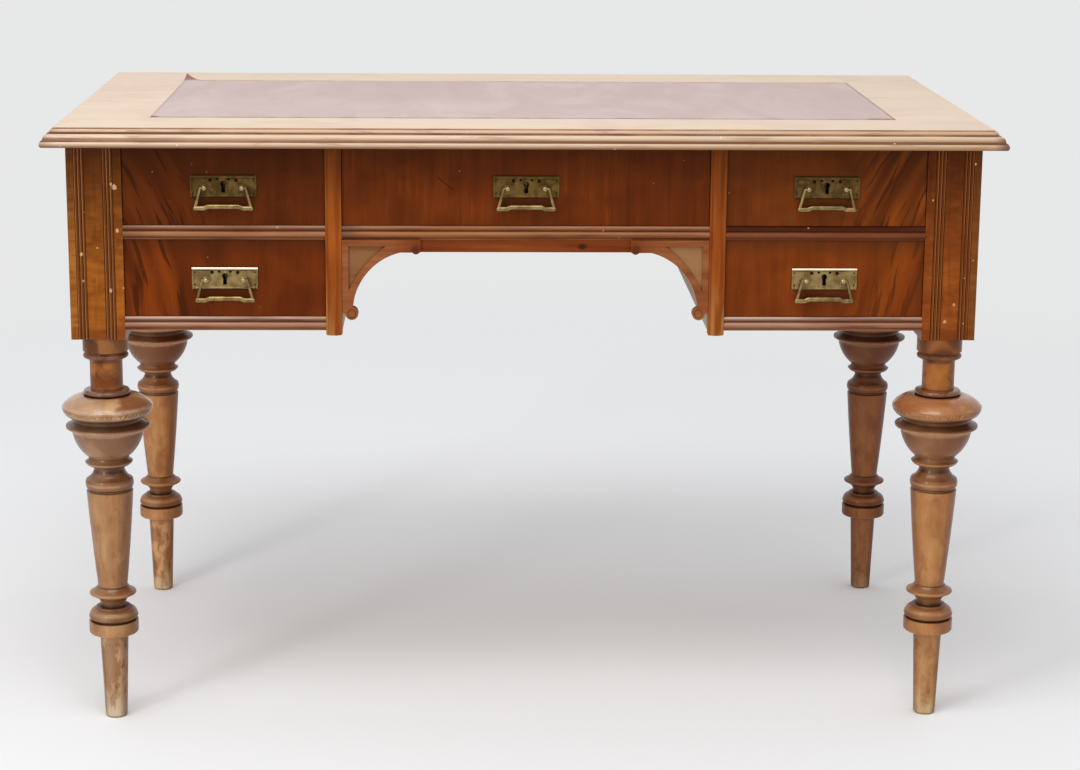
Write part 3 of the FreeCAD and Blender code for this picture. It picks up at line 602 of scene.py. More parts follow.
for number, (kind, names) in enumerate(RAILS.items()):
    brown, gold, light = RAIL_TONES[kind]
    polish, place, x, y, z, streaks, figure, pores = wood(
        "polish_rails_" + kind, (0.5, 0.1 + 0.3 * number, 0.2), 0)
    smears = polish.cloud(place, 0.05, (3, 1, 1), detail=3, bend=0.4)
    face_up = polish.outward()[2]
    bead_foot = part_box(names[0])[1].z - upper_bead_height
    upper_bead = z.rise(bead_foot, bead_foot + 0.0007)
    right_half = x.rise(-0.1, 0.1)
    both, more_above = BEAD_WEAR_AND_HIGHLIGHT[kind]
    # Paler where the beads face up: partly worn, partly painted highlight.
    wear_and_highlight = face_up.rise(0.10, 0.80) * (0.40 + smears.rise(0.35, 0.6) * 0.60)
    wear_and_highlight = wear_and_highlight * (both + upper_bead * more_above)
    # Less painted highlight on the right upper rail, which lies in the painted shadow of its drawer.
    if kind == "upper":
        wear_and_highlight = wear_and_highlight * (1 - right_half * 0.80)
    colour = polish.coats(
        polish.ramp(streaks * 0.5 + figure * 0.5, (0.32, RAIL_DARK), (0.45, brown), (0.64, gold)),
        (wear_and_highlight, light),
        (upper_bead * face_up.fall(0.30, 0.75) * QUIRK_SHADE[kind], (0.105, 0.042, 0.026)))
    # Painted shadow of the upper right drawer on the right upper rail.
    if kind == "upper":
        colour = polish.coats(
            colour,
            (right_half * 0.78, (0.165, 0.035, 0.0110)),
            (upper_bead * right_half * 0.90, (0.034, 0.0065, 0.0022)))
    if kind == "centre":
        colour = polish.mix(x.fall(-0.228, -0.200) * 0.70, colour, (0.130, 0.064, 0.042))
    colour = polish.coats(
        colour,
        # Painted shade on the undersides of the beads.
        (face_up.fall(-0.75, 0.25) * 0.70, RAIL_DARK),
        (abs(x).rise(0.455, 0.510) * RAIL_ENDS[kind], RAIL_DARK),
        # Dust and painted shade in the hollows.
        (polish.hollows(0.0035, False).rise(0.32, 0.75) * RAIL_DUST_AND_SHADE[kind], (0.045, 0.015, 0.009)),
        (polish.chips(place, 0.02, 0.1) * 0.8, (0.66, 0.46, 0.32)))
    polish.shellac(Base_Color=colour, Roughness=0.34 + smears * 0.2, Coat_Weight=0.06, Coat_Roughness=0.20,
                   Normal=polish.relief(pores * 0.4 + streaks * 0.3, 0.00025))
    polish.wear(*names, smooth=True)


# Stiles
# The moulded strips on the front edges of the partitions, orange-brown with upright streaks and
# worn paler at their lower ends.

polish, place, x, y, z, streaks, figure, pores = wood("polish_stiles", (0.2, 0.9, 0.2), 2)
colour = polish.coats(
    polish.ramp(streaks * 0.5 + figure * 0.5, (0.34, (0.150, 0.032, 0.0050)), (0.47, (0.27, 0.058, 0.0078)),
                (0.66, (0.38, 0.098, 0.0135))),
    # Darker towards the top: painted shade under the overhanging top.
    (z.rise(0.64, 0.77) * 0.62, (0.075, 0.018, 0.004)),
    (z.fall(0.52, 0.60) * figure.rise(0.40, 0.6) * 0.6, (0.45, 0.215, 0.062)),
    # Dirt and painted shade in the hollows.
    (polish.hollows(0.0035, False).rise(0.35, 0.75) * 0.8, HOLLOW_DIRT_AND_SHADE),
    (polish.edges(0.0012).rise(0.40, 0.75) * streaks.rise(0.30, 0.50) * 0.6, (0.60, 0.32, 0.16)))
polish.shellac(Base_Color=colour, Roughness=0.38 + streaks * 0.2, Coat_Weight=0.05, Coat_Roughness=0.20,
               Normal=polish.relief(pores * 0.4 + streaks * 0.3, 0.00025))
polish.wear("stile_left", "stile_right", smooth=True)


# Apron and brackets
# A plain strip under the centre rail and two sawn brackets let into it, each with a ball at its foot.
# Their borders are orange-brown, and the sunk fields are left nearly bare, a greenish tan.

APRON_BROWN = (0.178, 0.034, 0.0078)
APRON_DARK = (0.070, 0.014, 0.0040)
APRON_LIGHT = (0.250, 0.062, 0.0155)
BRACKET_DARK = (0.160, 0.042, 0.0125)
BRACKET_BROWN = (0.235, 0.066, 0.020)
BRACKET_LIGHT = (0.340, 0.122, 0.046)
FIELD_TAN = (0.26, 0.118, 0.048)
knot_x, knot_z = 0.073, 0.6310
sunk_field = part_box("bracket_left")[0].y + 0.0017
ball_x, ball_z = 0.2190, 0.5442
knob_x, knob_z = 0.1385, 0.6260

polish, place, x, y, z, streaks, figure, pores = wood("polish_apron", (0.9, 0.1, 0.4), 0)
knot = distance((x - knot_x + figure * 0.004) * 0.62, z - knot_z + streaks * 0.003)
colour = polish.coats(
    polish.ramp(streaks * 0.55 + figure * 0.45, (0.32, APRON_DARK), (0.45, APRON_BROWN), (0.68, APRON_LIGHT)),
    (knot.fall(0.0016, 0.0052) * 0.92, (0.040, 0.010, 0.006)))
polish.shellac(Base_Color=colour, Roughness=0.40 + streaks * 0.15,
               Normal=polish.relief(pores * 0.4 + streaks * 0.3, 0.00025))
polish.wear("apron")

polish, place, x, y, z, streaks, figure, pores = wood("polish_brackets", (0.7, 0.1, 0.4), 0)
field = polish.coats(
    (0.16, 0.062, 0.021),
    (figure.rise(0.35, 0.65), FIELD_TAN),
    (x.rise(-0.01, 0.01) * 0.60, (0.39, 0.210, 0.090)))
ball = distance(abs(x) - ball_x, z - ball_z)
knob = distance(abs(x) - knob_x, z - knob_z) + streaks * 0.002
colour = polish.coats(
    polish.ramp(streaks * 0.35 + figure * 0.65, (0.30, BRACKET_DARK), (0.45, BRACKET_BROWN),
                (0.68, BRACKET_LIGHT)),
    (abs(x).fall(0.136, 0.176) * 0.85, (0.180, 0.038, 0.0095)),
    (y.rise(sunk_field, sunk_field + 0.0004) * 0.9, field),
    # Dirt and painted shade in the hollows.
    (polish.hollows(0.004, False).rise(0.25, 0.65) * 0.42, HOLLOW_DIRT_AND_SHADE),
    (ball.near(0.0050, 0.0002, 0.0009) * 0.75, (0.060, 0.016, 0.008)),
    # Painted shadow around the knob at the end of each arm.
    (knob.fall(0.0035, 0.0095) * 0.72, (0.060, 0.018, 0.009)),
    (polish.edges(0.0014).rise(0.40, 0.75) * figure.rise(0.35, 0.55) * 0.5, (0.52, 0.25, 0.10)))
polish.shellac(Base_Color=colour, Roughness=0.42 + streaks * 0.15,
               Normal=polish.relief(pores * 0.4 + streaks * 0.3, 0.00025))
polish.wear("bracket_left", "bracket_right", smooth=True)


# Top board and its edge moulding
# A veneered board with four mitred mouldings. Sun and water have bleached it to pale peach, and the
# old brown polish is left only in the grooves and chips of the moulding. Painted shade also darkens its
# grooves and its cove.

TOP_PALE = (0.78, 0.62, 0.475)
TOP_PEACH = (0.755, 0.585, 0.445)
TOP_PINK = (0.70, 0.50, 0.40)
TOP_CREAM = (0.82, 0.67, 0.53)
TOP_BROWN = (0.34, 0.165, 0.085)
GROOVE_BROWN = (0.115, 0.045, 0.020)
EDGE_BROWN = (0.42, 0.235, 0.122)


def bleached(coat, place, along):
    """Bleached wood whose pores still hold some brown, with pinkish clouds where polish is left."""
    streaks, figure, pores = grain(coat, place, along, 1.4)
    blotches = coat.cloud(place, 0.08, (1.6, 1, 1), detail=4, bend=0.6)
    colour = coat.coats(
        coat.ramp(streaks * 0.5 + figure * 0.5, (0.30, TOP_PEACH), (0.50, TOP_PALE), (0.70, TOP_CREAM)),
        (blotches.rise(0.48, 0.72) * 0.5, TOP_PINK),
        (pores.rise(0.60, 0.72) * 0.25, TOP_BROWN))
    return colour, streaks, pores, blotches


board = Finish("bleached_board")
place = board.place((0.1, 0.2, 0))
colour, streaks, pores, blotches = bleached(board, place, 0)
stains = board.cloud(place, 0.014, detail=2).rise(0.70, 0.78) * blotches.rise(0.45, 0.6)
board.set(Base_Color=board.mix(stains * 0.3, colour, TOP_BROWN), Roughness=0.55 + blotches * 0.15,
          Specular_IOR_Level=0.3, Normal=board.relief(pores * 0.5 + streaks * 0.3, 0.00018))
board.wear("top_board")

small_bead = (0.7745, 0.7750, 0.7785, 0.7790)
broad_bead_foot = (0.7648, 0.7652, 0.7680, 0.7692)
cove = (0.7632, 0.7637, 0.7661, 0.7668)
quirks = ((0.7780, 0.7793, 0.78), (0.7724, 0.7748, 0.92), (0.7634, 0.7652, 0.90))
lowest_bead, lowest_step = 0.7622, 0.7600

moulding = Finish("bleached_moulding")
place = moulding.place((0.4, 0.2, 0))
x, y, z = moulding.axes(moulding.place())
colour, streaks, pores, blotches = bleached(moulding, place, 0)
rows = moulding.cloud(place, 0.030, (3, 3, 0.35), detail=5, rough=0.62, bend=0.4)
smear = moulding.cloud(place, 0.11, (2, 2, 0.5), detail=3)
face_up = moulding.outward()[2]
steep = face_up.fall(0.55, 0.95)
left_end, right_end = x.fall(-0.62, -0.30), x.rise(0.00, 0.45)
worn_brown = moulding.mix(rows.rise(0.36, 0.62), (0.42, 0.215, 0.108), (0.21, 0.086, 0.038))
bead_foot = z.between(*broad_bead_foot)
colour = moulding.coats(
    colour,
    (steep * (0.45 - left_end * 0.30), (0.61, 0.375, 0.230)),
    (z.between(*small_bead) * (0.55 - left_end * 0.30), (0.63, 0.385, 0.240)),
    (bead_foot * (0.70 - smear.rise(0.45, 0.75) * 0.25), (0.50, 0.275, 0.142)),
    (bead_foot * (left_end * 0.75 + right_end * 0.40), worn_brown))
for floor, ceiling, share in quirks:
    quirk = z.between(floor - 0.0003, floor, ceiling, ceiling + 0.0004)
    share = share - smear.rise(0.50, 0.75) * 0.30 + left_end * 0.08
    colour = moulding.mix(quirk * share, colour, worn_brown)
# Old polish and painted shade in the grooves.
dirt_and_shade = moulding.hollows(0.0035).rise(0.14, 0.42) * (0.50 + rows.rise(0.32, 0.55) * 0.50)
wear_and_highlight = moulding.edges(0.0015).rise(0.45, 0.8) * smear.rise(0.40, 0.55)
tips = abs(x).rise(0.5780, 0.5985) * steep * y.fall(-0.330, -0.285)
lowest = z.fall(lowest_step - 0.0002, lowest_bead)
colour = moulding.coats(
    colour,
    (lowest * steep * (0.50 + left_end * 0.10 + right_end * 0.25), EDGE_BROWN),
    (z.fall(lowest_step, lowest_bead) * (0.16 + right_end * 0.30), EDGE_BROWN),
    (z.fall(lowest_step - 0.0024, lowest_step) * 0.76, (0.20, 0.085, 0.038)),
    (right_end * steep * 0.48, (0.52, 0.310, 0.145)),
    # Painted shade in the cove, deeper towards the right.
    (z.between(*cove) * (0.36 + x.rise(-0.55, 0.20) * 0.56), (0.15, 0.058, 0.022)),
    (rows.rise(0.52, 0.64) * steep * 0.55, (0.36, 0.175, 0.090)),
    (dirt_and_shade * 0.92, GROOVE_BROWN),
    (wear_and_highlight * 0.45, (0.82, 0.66, 0.50)),
    (moulding.chips(place, 0.012, 0.08) * 0.75, (0.86, 0.72, 0.55)),
    (tips * (0.40 + x.rise(-0.2, 0.2) * 0.48), (0.14, 0.060, 0.030)),
    (face_up.fall(-0.95, -0.55) * 0.8, (0.17, 0.070, 0.033)))
moulding.set(Base_Color=colour, Roughness=0.46 + rows * 0.15, Specular_IOR_Level=0.35,
             Normal=moulding.relief(pores * 0.4 + rows * 0.5 + streaks * 0.3, 0.0003))
moulding.wear("top_moulding", smooth=True)


# Leather
# One skin glued into the recess of the top, faded to a greyish mauve and rubbed smooth. Its edge is
# darker where it was turned down, and the back left corner has come loose and curls up, redder below.

LEATHER_MAUVE = (0.565, 0.417, 0.388)
LEATHER_GREY = (0.625, 0.488, 0.458)
LEATHER_RED = (0.30, 0.105, 0.095)
skin_low, skin_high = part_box("leather_inset")
skin_length, skin_width = skin_high.x - skin_low.x, skin_high.y - skin_low.y
steps_across, steps_back, steps_in_curl = 90, 44, 14
curl_reach, curl_lift, curl_lean, curled_thickness = 0.026, 0.0105, 0.004, 0.0012
ripples_in_metre, ripple_height = 22, 0.00012


def curled(x, y):
    """How far a place is into the curl: 1 at the loose corner, 0 at the curl's reach and beyond."""
    return max(0.0, 1 - math.hypot(x - skin_low.x, skin_high.y - y) / curl_reach)


def skin_layer(mesh, across, back, lower):
    """The places on the upper or lower side of the skin, row by row."""
    grid = []
    for x in across:
        row = []
        for y in back:
            ripple = noise.noise(Vector((x * ripples_in_metre, y * ripples_in_metre, 3.1)))
            height = skin_high.z + ripple_height * ripple + curl_lift * curled(x, y) ** 1.8
            if lower:
                thickness = curled_thickness if curled(x, y) else skin_high.z - skin_low.z
                height = max(height - thickness, skin_low.z)
            lean = curl_lean * curled(x, y) ** 2
            row.append(mesh.verts.new((x + lean, y - lean, height)))
        grid.append(row)
    return grid


def new_object(name, mesh, finish):
    """Makes an object of a mesh under construction, with its finish, and puts it in the scene."""
    data = bpy.data.meshes.new(name)
    mesh.to_mesh(data)
    mesh.free()
    data.materials.append(finish.material)
    thing = bpy.data.objects.new(name, data)
    bpy.context.scene.collection.objects.link(thing)
    return thing


def leather_skin(finish):
    """A closed sheet with close rows of faces in the curled corner."""
    close = [curl_reach * step / steps_in_curl for step in range(1, steps_in_curl)]
    across = [skin_low.x + skin_length * step / steps_across for step in range(steps_across + 1)]
    across = sorted(across + [skin_low.x + reach for reach in close])
    back = [skin_low.y + skin_width * step / steps_back for step in range(steps_back + 1)]
    back = sorted(back + [skin_high.y - reach for reach in close])
    mesh = bmesh.new()
    top = skin_layer(mesh, across, back, False)
    under = skin_layer(mesh, across, back, True)
    for i in range(len(across) - 1):
        for j in range(len(back) - 1):
            mesh.faces.new((top[i][j], top[i + 1][j], top[i + 1][j + 1], top[i][j + 1]))
            mesh.faces.new((under[i][j], under[i][j + 1], under[i + 1][j + 1], under[i + 1][j]))
    for i in range(len(across) - 1):
        mesh.faces.new((top[i][0], under[i][0], under[i + 1][0], top[i + 1][0]))
        mesh.faces.new((top[i][-1], top[i + 1][-1], under[i + 1][-1], under[i][-1]))
    for j in range(len(back) - 1):
        mesh.faces.new((top[0][j], top[0][j + 1], under[0][j + 1], under[0][j]))
        mesh.faces.new((top[-1][j], under[-1][j], under[-1][j + 1], top[-1][j + 1]))
    skin = new_object("leather_skin", mesh, finish)
    skin.data.shade_smooth()
    skin.data.set_sharp_from_angle(angle=math.radians(50))
    return skin


leather = Finish("faded_leather")
place = leather.place()
x, y, z = leather.axes(place)
pebble = leather.node("TexVoronoi", {"feature": "SMOOTH_F1"}, {"Vector": place, "Scale": 900.0})
clouds = leather.cloud(place, 0.10, (1, 2.6, 1), detail=4, bend=0.8)
smudges = leather.cloud(place, 0.030, (1, 3.0, 1), detail=4, rough=0.6, bend=0.5)
scratches = leather.cloud(place, 0.0012, (26, 1, 1), detail=1, bend=1.5).rise(0.66, 0.70)
fray = smudges * 0.004
side_rim = (abs(x) + fray).rise(skin_high.x - 0.0020, skin_high.x + 0.0005) * x.rise(-0.1, 0.1, 0.30, 0.85)
right_end = x.rise(skin_high.x - 0.040, skin_high.x - 0.032)
front_rim = (y - fray * 1.5 - right_end * 0.006).fall(skin_low.y + 0.0060, skin_low.y + 0.0110)
back_rim = (y + fray * 1.5).rise(skin_high.y - 0.0085, skin_high.y - 0.0035) * clouds.rise(0.46, 0.54)
corner_stain = distance(x - skin_low.x - 0.004, (y - skin_low.y - 0.009) * 0.7) - fray
raised = z.rise(skin_high.z + 0.0006, skin_high.z + 0.003)
front_brown = leather.mix(right_end, (0.24, 0.115, 0.080), (0.33, 0.150, 0.040))
colour = leather.coats(
    LEATHER_MAUVE,
    (clouds.rise(0.35, 0.65), LEATHER_GREY),
    (smudges.rise(0.52, 0.75) * 0.35, (0.50, 0.35, 0.345)),
    (scratches * 0.3, (0.70, 0.60, 0.57)),
    (side_rim * 0.60, (0.26, 0.125, 0.075)),
    (front_rim * (0.42 + smudges.rise(0.40, 0.60) * 0.25 + right_end * 0.30), front_brown),
    (corner_stain.fall(0.002, 0.007) * 0.75, (0.11, 0.050, 0.036)),
    (back_rim * 0.60, (0.46, 0.20, 0.165)),
    (raised * 0.85, LEATHER_RED))
leather.set(Base_Color=colour, Roughness=0.52 + smudges * 0.12, Specular_IOR_Level=0.3, Sheen_Weight=0.05,
            Normal=leather.relief(pebble * 0.6 + smudges * 0.6, 0.00012))
skin = leather_skin(leather)
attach(skin, "carcass")
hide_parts("leather_inset")


# Drawer fronts
# Solid fronts faced with walnut veneer. On the outer four the figure sweeps down and inwards in dark
# flames, left and right cut as a pair, and on the centre one it stands upright. Old polish, scratched.

# Each front's tone, the glow of its flames and how strongly they cover.
DRAWERS = {"upper_left": ((0.82, 0.70, 0.60), 0.52, 0.90),
           "lower_left": ((1.08, 0.85, 0.56), 0.72, 0.90),
           "centre": ((1.15, 1.00, 0.75), 0.0, 0.0),
           "upper_right": ((1.22, 1.22, 1.00), 1.15, 0.90),
           "lower_right": ((1.66, 1.52, 1.00), 0.58, 0.64)}
WALNUT_DEEP = (0.024, 0.0056, 0.0015)
WALNUT_DARK = (0.070, 0.0140, 0.0024)
WALNUT_RED = (0.150, 0.0300, 0.0042)
WALNUT_GLOW = (0.310, 0.0700, 0.0075)
FLAME_SLOPE = {"upper": (0.36, 1.6), "lower": (0.22, 0.6)}
scratch_x, scratch_z, scratch_slope = -0.101, 0.710, 0.81


class Veneer(Finish):
    """The walnut of one drawer front, whose number moves the figure to another part of the log."""

    def __init__(self, number, drawer):
        super().__init__("walnut_" + drawer)
        self.number = number
        self.drawer = drawer
        self.tone, self.flame_glow, self.flame_share = DRAWERS[drawer]
        self.x, self.y, self.z = self.axes(self.place())
        self.low, self.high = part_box("drawer_front_" + drawer)
        self.up = self.z - self.low.z
        self.fine = self.figured(self.x, 0.0, self.z * 0.05 + 0.3 * number, 0.0017, detail=3, rough=0.6)
        self.bands = self.figured(self.x, 0.0, self.z * 0.07 + 0.7 * number, 0.018, detail=3)
        self.glow = self.figured(self.x, 0.17 * number, self.z, 0.075, (1, 1, 0.7), detail=2, bend=0.4)

    def figured(self, across, shift, along, size, stretch=(1, 1, 1), **kind):
        """A cloud in the plane of the veneer."""
        return self.cloud(self.joined(across, shift, along), size, stretch, **kind)

    def flames(self, colour):
        """Dark flames that sweep down and inwards over an outer drawer."""
        side, z = abs(self.x), self.z
        slope, bend = FLAME_SLOPE[self.drawer.split("_")[0]]
        wander = self.figured(side, 0.31 * self.number, z, 0.05, (1, 1, 1.5), detail=1) * 0.016
        lane = side - self.up * slope - self.up * self.up * bend + wander
        broad = self.figured(lane, 0.37 * self.number, z * 0.10, 0.026, detail=1)
        thin = self.figured(lane, 0.53 * self.number, z * 0.12, 0.0075, detail=2)
        hair = self.figured(lane, 0.7, z * 0.05, 0.0018, detail=2)
        reached = (side - self.up * 0.28 + (self.glow - 0.5) * 0.06).rise(0.380, 0.440)
        flame = self.coats(
            tuple(part * self.flame_glow for part in WALNUT_GLOW),
            (broad.rise(0.30, 0.66), (0.082, 0.0155, 0.0024)),
            (thin.rise(0.53, 0.64) * 0.78, WALNUT_DEEP),
            (hair.rise(0.46, 0.72) * 0.35, WALNUT_DARK))
        return self.mix(reached * self.flame_share, colour, flame)

    def upright(self, colour):
        """Upright streaks over the centre drawer."""
        reeds = self.figured(self.x, 0.0, self.z * 0.04, 0.0065, detail=2)
        return self.coats(
            colour,
            (reeds.rise(0.54, 0.70) * 0.50, WALNUT_DARK),
            (reeds.fall(0.30, 0.46) * self.glow.rise(0.45, 0.65) * 0.35, (0.25, 0.056, 0.0066)))

    def walnut(self):
        """The polished figure, with painted shade towards the top edge of the front."""
        colour = self.coats(
            WALNUT_DARK,
            (self.bands.rise(0.30, 0.70) * 0.60 + 0.20, WALNUT_RED),
            (self.glow.rise(0.36, 0.70) * 0.40, (0.205, 0.044, 0.0056)),
            (self.fine.rise(0.46, 0.72) * 0.42, WALNUT_DARK))
        colour = self.upright(colour) if self.drawer == "centre" else self.flames(colour)
        height = self.up / (self.high.z - self.low.z)
        # Painted shade at the top of each front: a narrow band under the rail on the lower fronts, with a
        # little over the whole of them, and a broad one under the top on the upper fronts.
        if self.drawer.startswith("lower"):
            colour = self.mix(height.rise(0.70, 1.00) * 0.42 + 0.05, colour, (0.030, 0.0100, 0.0045))
        else:
            colour = self.mix(height.rise(0.15, 1.05) * 0.50, colour, WALNUT_DEEP)
        return self.toned(colour, self.tone)

    def scratched(self, colour):
        """One slanting scratch through the polish of the centre drawer."""
        across = self.x - scratch_x
        line = self.z - scratch_z + across * scratch_slope + self.fine * 0.002
        scratch = line.near(0.0, 0.0004, 0.0014) * across.near(0.0, 0.009, 0.012)
        return self.mix(scratch * 0.8, colour, WALNUT_DEEP)

    def finish_front(self):
        """Polish on the face, bare wood behind it, painted shade in the gaps and under the bail, and
        near-black painted shade where the plate's holes show the wood.
        """
        colour = self.walnut()
        if self.drawer == "centre":
            colour = self.scratched(colour)
        plate_low, plate_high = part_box("handle_plate_" + self.drawer)
        middle, level = (plate_low.x + plate_high.x) / 2, (plate_low.z + plate_high.z) / 2
        specks = self.chips(self.place((0.3 * self.number, 0, 0.2)), 0.009, 0.02)
        # Painted shadow of the bail on the front below the plate.
        bail_shadow = self.x.near(middle, 0.0240, 0.0420) * self.z.near(plate_low.z - 0.0050, 0.0040, 0.0130)
        behind = self.y.rise(self.low.y + 0.0004, self.low.y + 0.0010)
        # Painted shade, near black, where the plate covers the front and its holes show the wood.
        covered = (self.x.near(middle, 0.0380, 0.0385) * self.z.near(level, 0.0125, 0.0130)
                   * self.y.fall(self.high.y - 0.0010, self.high.y - 0.0005))
        colour = self.coats(
            colour,
            # Painted shade in the gaps around the front and under the top.
            (self.hollows(0.006, False).rise(0.26, 0.70) * 0.85, (0.020, 0.006, 0.003)),
            (specks * 0.7, (0.45, 0.26, 0.13)),
            (self.edges(0.0012).rise(0.4, 0.8) * self.glow.rise(0.4, 0.6) * 0.30, (0.35, 0.15, 0.05)),
            (bail_shadow * 0.50, (0.022, 0.0065, 0.0030)),
            (behind, (0.34, 0.20, 0.10)),
            (covered, (0.006, 0.004, 0.003)))
        self.shellac(Base_Color=colour, Roughness=0.34 + self.fine * 0.08 + behind * 0.3,
                     Coat_Weight=0.05 * (1 - behind), Coat_Roughness=0.12,
                     Normal=self.relief(self.fine * 0.5 + specks * 0.6, 0.00010))
        self.wear("drawer_front_" + self.drawer)


for number, name in enumerate(DRAWERS):
    Veneer(number, name).finish_front()


# Drawer boxes
# Thin sides and a back of pale softwood, dovetailed and never polished, with bottoms slid into their
# grooves from behind. Inside they are darkened by paper, ink and age.

BOTTOM_TONES = ((0.25, 0.14, 0.07), (0.46, 0.31, 0.17), (0.56, 0.41, 0.25))

for number, name in enumerate(DRAWERS):
    sides = board_polish("bare_sides_" + name, 1, (0.31 * number, 0.1, 0.2), BARE_TONES, 0.25)
    sides.wear("drawer_box_" + name)
    bottom = board_polish("bare_bottom_" + name, 0, (0.1, 0.23 * number, 0.9), BOTTOM_TONES, 0.1)
    bottom.wear("drawer_bottom_" + name)


# Locks
# Brass till locks let into the backs of the fronts, with a bolt that rises out of the top edge. The
# brass is dull, and brighter on the edges that are rubbed.

def brass(name, shift, bright, dull, dark, rough):
    """Old brass: bright where it is worn and dark in its corners."""
    metal = Finish(name)
    place = metal.place(shift)
    patches = metal.cloud(place, 0.012, detail=4, rough=0.6, bend=0.4)
    fine = metal.cloud(place, 0.0016, detail=3)
    dirt_and_shade = metal.hollows(0.0032).rise(0.16, 0.50)
    wear_and_highlight = metal.edges(0.0011).rise(0.30, 0.70)
    metal.colour = metal.coats(
        dull,
        (patches.rise(0.36, 0.66), bright),
        (dirt_and_shade * 0.8, dark),
        (wear_and_highlight * 0.6, tuple(min(1.0, part * 1.7) for part in bright)))
    metal.set(Base_Color=metal.colour, Metallic=1.0,
              Roughness=rough + patches * 0.14 + dirt_and_shade * 0.3 - wear_and_highlight * 0.08,
              Normal=metal.relief(fine * 0.5 + patches * 0.5, 0.00012))
    return metal


lock_metal = brass("lock_brass", (0.4, 0, 0), (0.42, 0.29, 0.12), (0.20, 0.13, 0.055),
                   (0.02, 0.012, 0.005), 0.40)
for name in DRAWERS:
    lock_metal.wear("lock_case_" + name, "lock_bolt_" + name)


# Handle plates, posts and bails
# Pierced brass plates with a rolled rim above and below, each held by two turned posts and four nails.
# The swinging bails are cast, thin at the pins and thick at the grip. All are tarnished olive.

# The upper and centre plates are darker, with tarnish and painted shade under the top, and the lower ones
# brighter with painted reflection. The rims carry painted shade on the upper and centre plates and a painted
# highlight on the lower ones.
RIM_SHADE = (0.80, (0.085, 0.050, 0.014))
RIM_HIGHLIGHT = (0.95, (0.97, 0.86, 0.66))
PLATE_TONES = {"upper": ((0.165, 0.098, 0.030), (0.078, 0.043, 0.012), RIM_SHADE),
               "centre": ((0.185, 0.108, 0.030), (0.090, 0.050, 0.013), RIM_SHADE),
               "lower": ((0.36, 0.250, 0.100), (0.20, 0.126, 0.048), RIM_HIGHLIGHT)}
PIERCED = ((0.0161, 0.0074, 0.0026), (0.0070, 0.0085, 0.0020))
eye_height, eye_radius = 0.00275, 0.0033

for name in DRAWERS:
    bright, dull, (rim_share, rim_tone) = PLATE_TONES[name.split("_")[0]]
    metal = brass("plate_brass_" + name, (0.2, 0, 0.3), bright, dull, (0.022, 0.012, 0.005), 0.36)
    x, y, z = metal.axes(metal.place())
    low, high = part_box("handle_plate_" + name)
    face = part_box("drawer_front_" + name)[0].y
    across, up = abs(x - (low.x + high.x) / 2), z - (low.z + high.z) / 2
    knob = y.fall(face - 0.0085, face - 0.0070)
    rim = z.rise(high.z - 0.0034, high.z - 0.0024) * metal.outward()[2].rise(-0.25, 0.35)
    slot = across.fall(0.0022, 0.0028) * up.between(-0.0086, -0.0080, 0.0020, 0.0030)
    # Painted shade, near black, in and around the keyhole and the piercings.
    hole_shade = distance(across, up - eye_height).fall(eye_radius, eye_radius + 0.0008) + slot
    for hole_x, hole_z, reach in PIERCED:
        hole_shade = hole_shade + distance(across - hole_x, up - hole_z).fall(reach * 0.75, reach)
    metal.set(Base_Color=metal.coats(
        metal.colour,
        # Painted highlight on the post heads, partly worn brass.
        (knob * 0.45, (0.72, 0.55, 0.33)),
        (rim * rim_share, rim_tone),
        (hole_shade.rise(0.0, 1.0) * (1 - knob) * 0.9, (0.012, 0.008, 0.004)),
        (y.between(face - 0.0013, face - 0.0010, face + 0.0004, face + 0.0010), (0.010, 0.007, 0.004))))
    metal.wear("handle_plate_" + name, smooth=True)
bail_metal = brass("bail_brass", (0, 0.2, 0.3), (0.36, 0.25, 0.105), (0.19, 0.122, 0.048),
                   (0.035, 0.020, 0.008), 0.30)
bail_metal.wear(*["handle_bail_" + name for name in DRAWERS], smooth=True)


# Nails of the handle plates
# Four domed brass nails hold the corners of each plate to its drawer front. They are driven through
# the plate into the wood, and their heads are nearly black.

nail_inset, nail_above_foot, nail_below_rim = 0.0036, 0.0058, 0.0062
nail_radius, nail_flatness, nail_seat = 0.0011, 0.7, 0.0015
nail_metal = brass("nail_brass", (0.1, 0, 0), (0.075, 0.048, 0.018), (0.035, 0.022, 0.009),
                   (0.02, 0.012, 0.005), 0.55)


def nail_heads(name):
    """The four heads of one plate, as one mesh."""
    low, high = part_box("handle_plate_" + name)
    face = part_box("drawer_front_" + name)[0].y - nail_seat
    mesh = bmesh.new()
    for x in (low.x + nail_inset, high.x - nail_inset):
        for z in (low.z + nail_above_foot, high.z - nail_below_rim):
            dome = bmesh.ops.create_uvsphere(mesh, u_segments=12, v_segments=8, radius=nail_radius)["verts"]
            for vert in dome:
                vert.co.y *= nail_flatness
                vert.co += Vector((x, face, z))
    heads = new_object("nails_" + name, mesh, nail_metal)
    heads.data.shade_smooth()
    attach(heads, "drawer_" + name)


for name in DRAWERS:
    nail_heads(name)


# Studio
# A pale floor that fades into a pale backdrop, a large soft lamp above and in front and a weaker,
# narrow one at the left in front. The camera stands where it stood for the photograph.

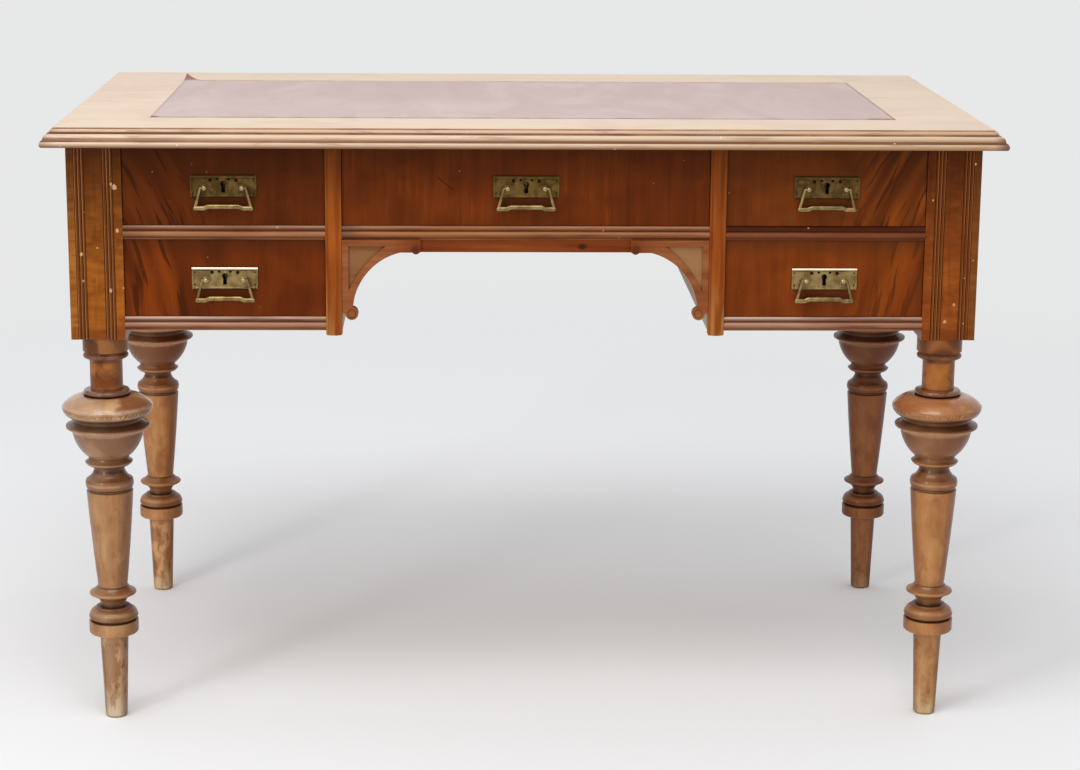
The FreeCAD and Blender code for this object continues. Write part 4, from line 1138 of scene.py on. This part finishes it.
def soft_lamp(name, place, target, size, power):
    lamp = bpy.data.lights.new(name, "AREA")
    lamp.shape = "RECTANGLE"
    lamp.size, lamp.size_y = size
    lamp.energy = power
    holder = bpy.data.objects.new(name, lamp)
    holder.location = place
    holder.rotation_euler = (Vector(target) - Vector(place)).to_track_quat("-Z", "Y").to_euler()
    bpy.context.scene.collection.objects.link(holder)


floor_half, fade_start, fade_end = 9.0, 0.95, 2.9
paper = Finish("pale_paper")
x, y, z = paper.axes(paper.place())
paper.set(Base_Color=(0.955, 0.956, 0.956), Roughness=0.9, Specular_IOR_Level=0.0,
          Alpha=((x * x + y * y * 0.7) ** 0.5).fall(fade_start, fade_end))
mesh = bmesh.new()
bmesh.ops.create_grid(mesh, x_segments=1, y_segments=1, size=floor_half)
floor = new_object("studio_floor", mesh, paper)
floor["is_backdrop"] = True

world = bpy.data.worlds.new("studio_air")
bpy.context.scene.world = world
air = Finish("studio_air", world)
rays = air.node("LightPath").socket.node
seen = 0.0
for kind in ("Camera", "Glossy", "Transmission"):
    seen = seen + Mark(air, rays.outputs["Is %s Ray" % kind])
air.set(Color=air.mix(seen.rise(0.0, 0.9), (0.70, 0.71, 0.73), (0.800, 0.805, 0.805)))
soft_lamp("lamp_above", (-0.5, -1.5, 3.1), (0, 0, 0.4), (2.2, 1.2), 36)
soft_lamp("lamp_left", (-2.4, -3.0, 1.9), (0, 0, 0.5), (0.55, 1.1), 18)

camera_place = Vector((-0.0881, -3.5015, 1.1864))
yaw, pitch, roll = (math.radians(angle) for angle in (1.920, -12.948, 0.441))
photo_width, focal_pixels, sensor_width = 1080, 2578.06, 36.0
ahead = Vector((math.sin(yaw) * math.cos(pitch), math.cos(yaw) * math.cos(pitch), math.sin(pitch)))
level = Vector((math.cos(yaw), -math.sin(yaw), 0))
above = level.cross(ahead)
right = level * math.cos(roll) + above * math.sin(roll)
above = above * math.cos(roll) - level * math.sin(roll)
camera_data = bpy.data.cameras.new("camera")
camera_data.sensor_width = sensor_width
camera_data.lens = sensor_width * focal_pixels / photo_width
camera = bpy.data.objects.new("camera", camera_data)
camera.matrix_world = Matrix((right, above, -ahead)).transposed().to_4x4()
camera.location = camera_place
bpy.context.scene.collection.objects.link(camera)
bpy.context.scene.camera = camera
bpy.context.scene.view_settings.view_transform = "Standard"

low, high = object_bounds()
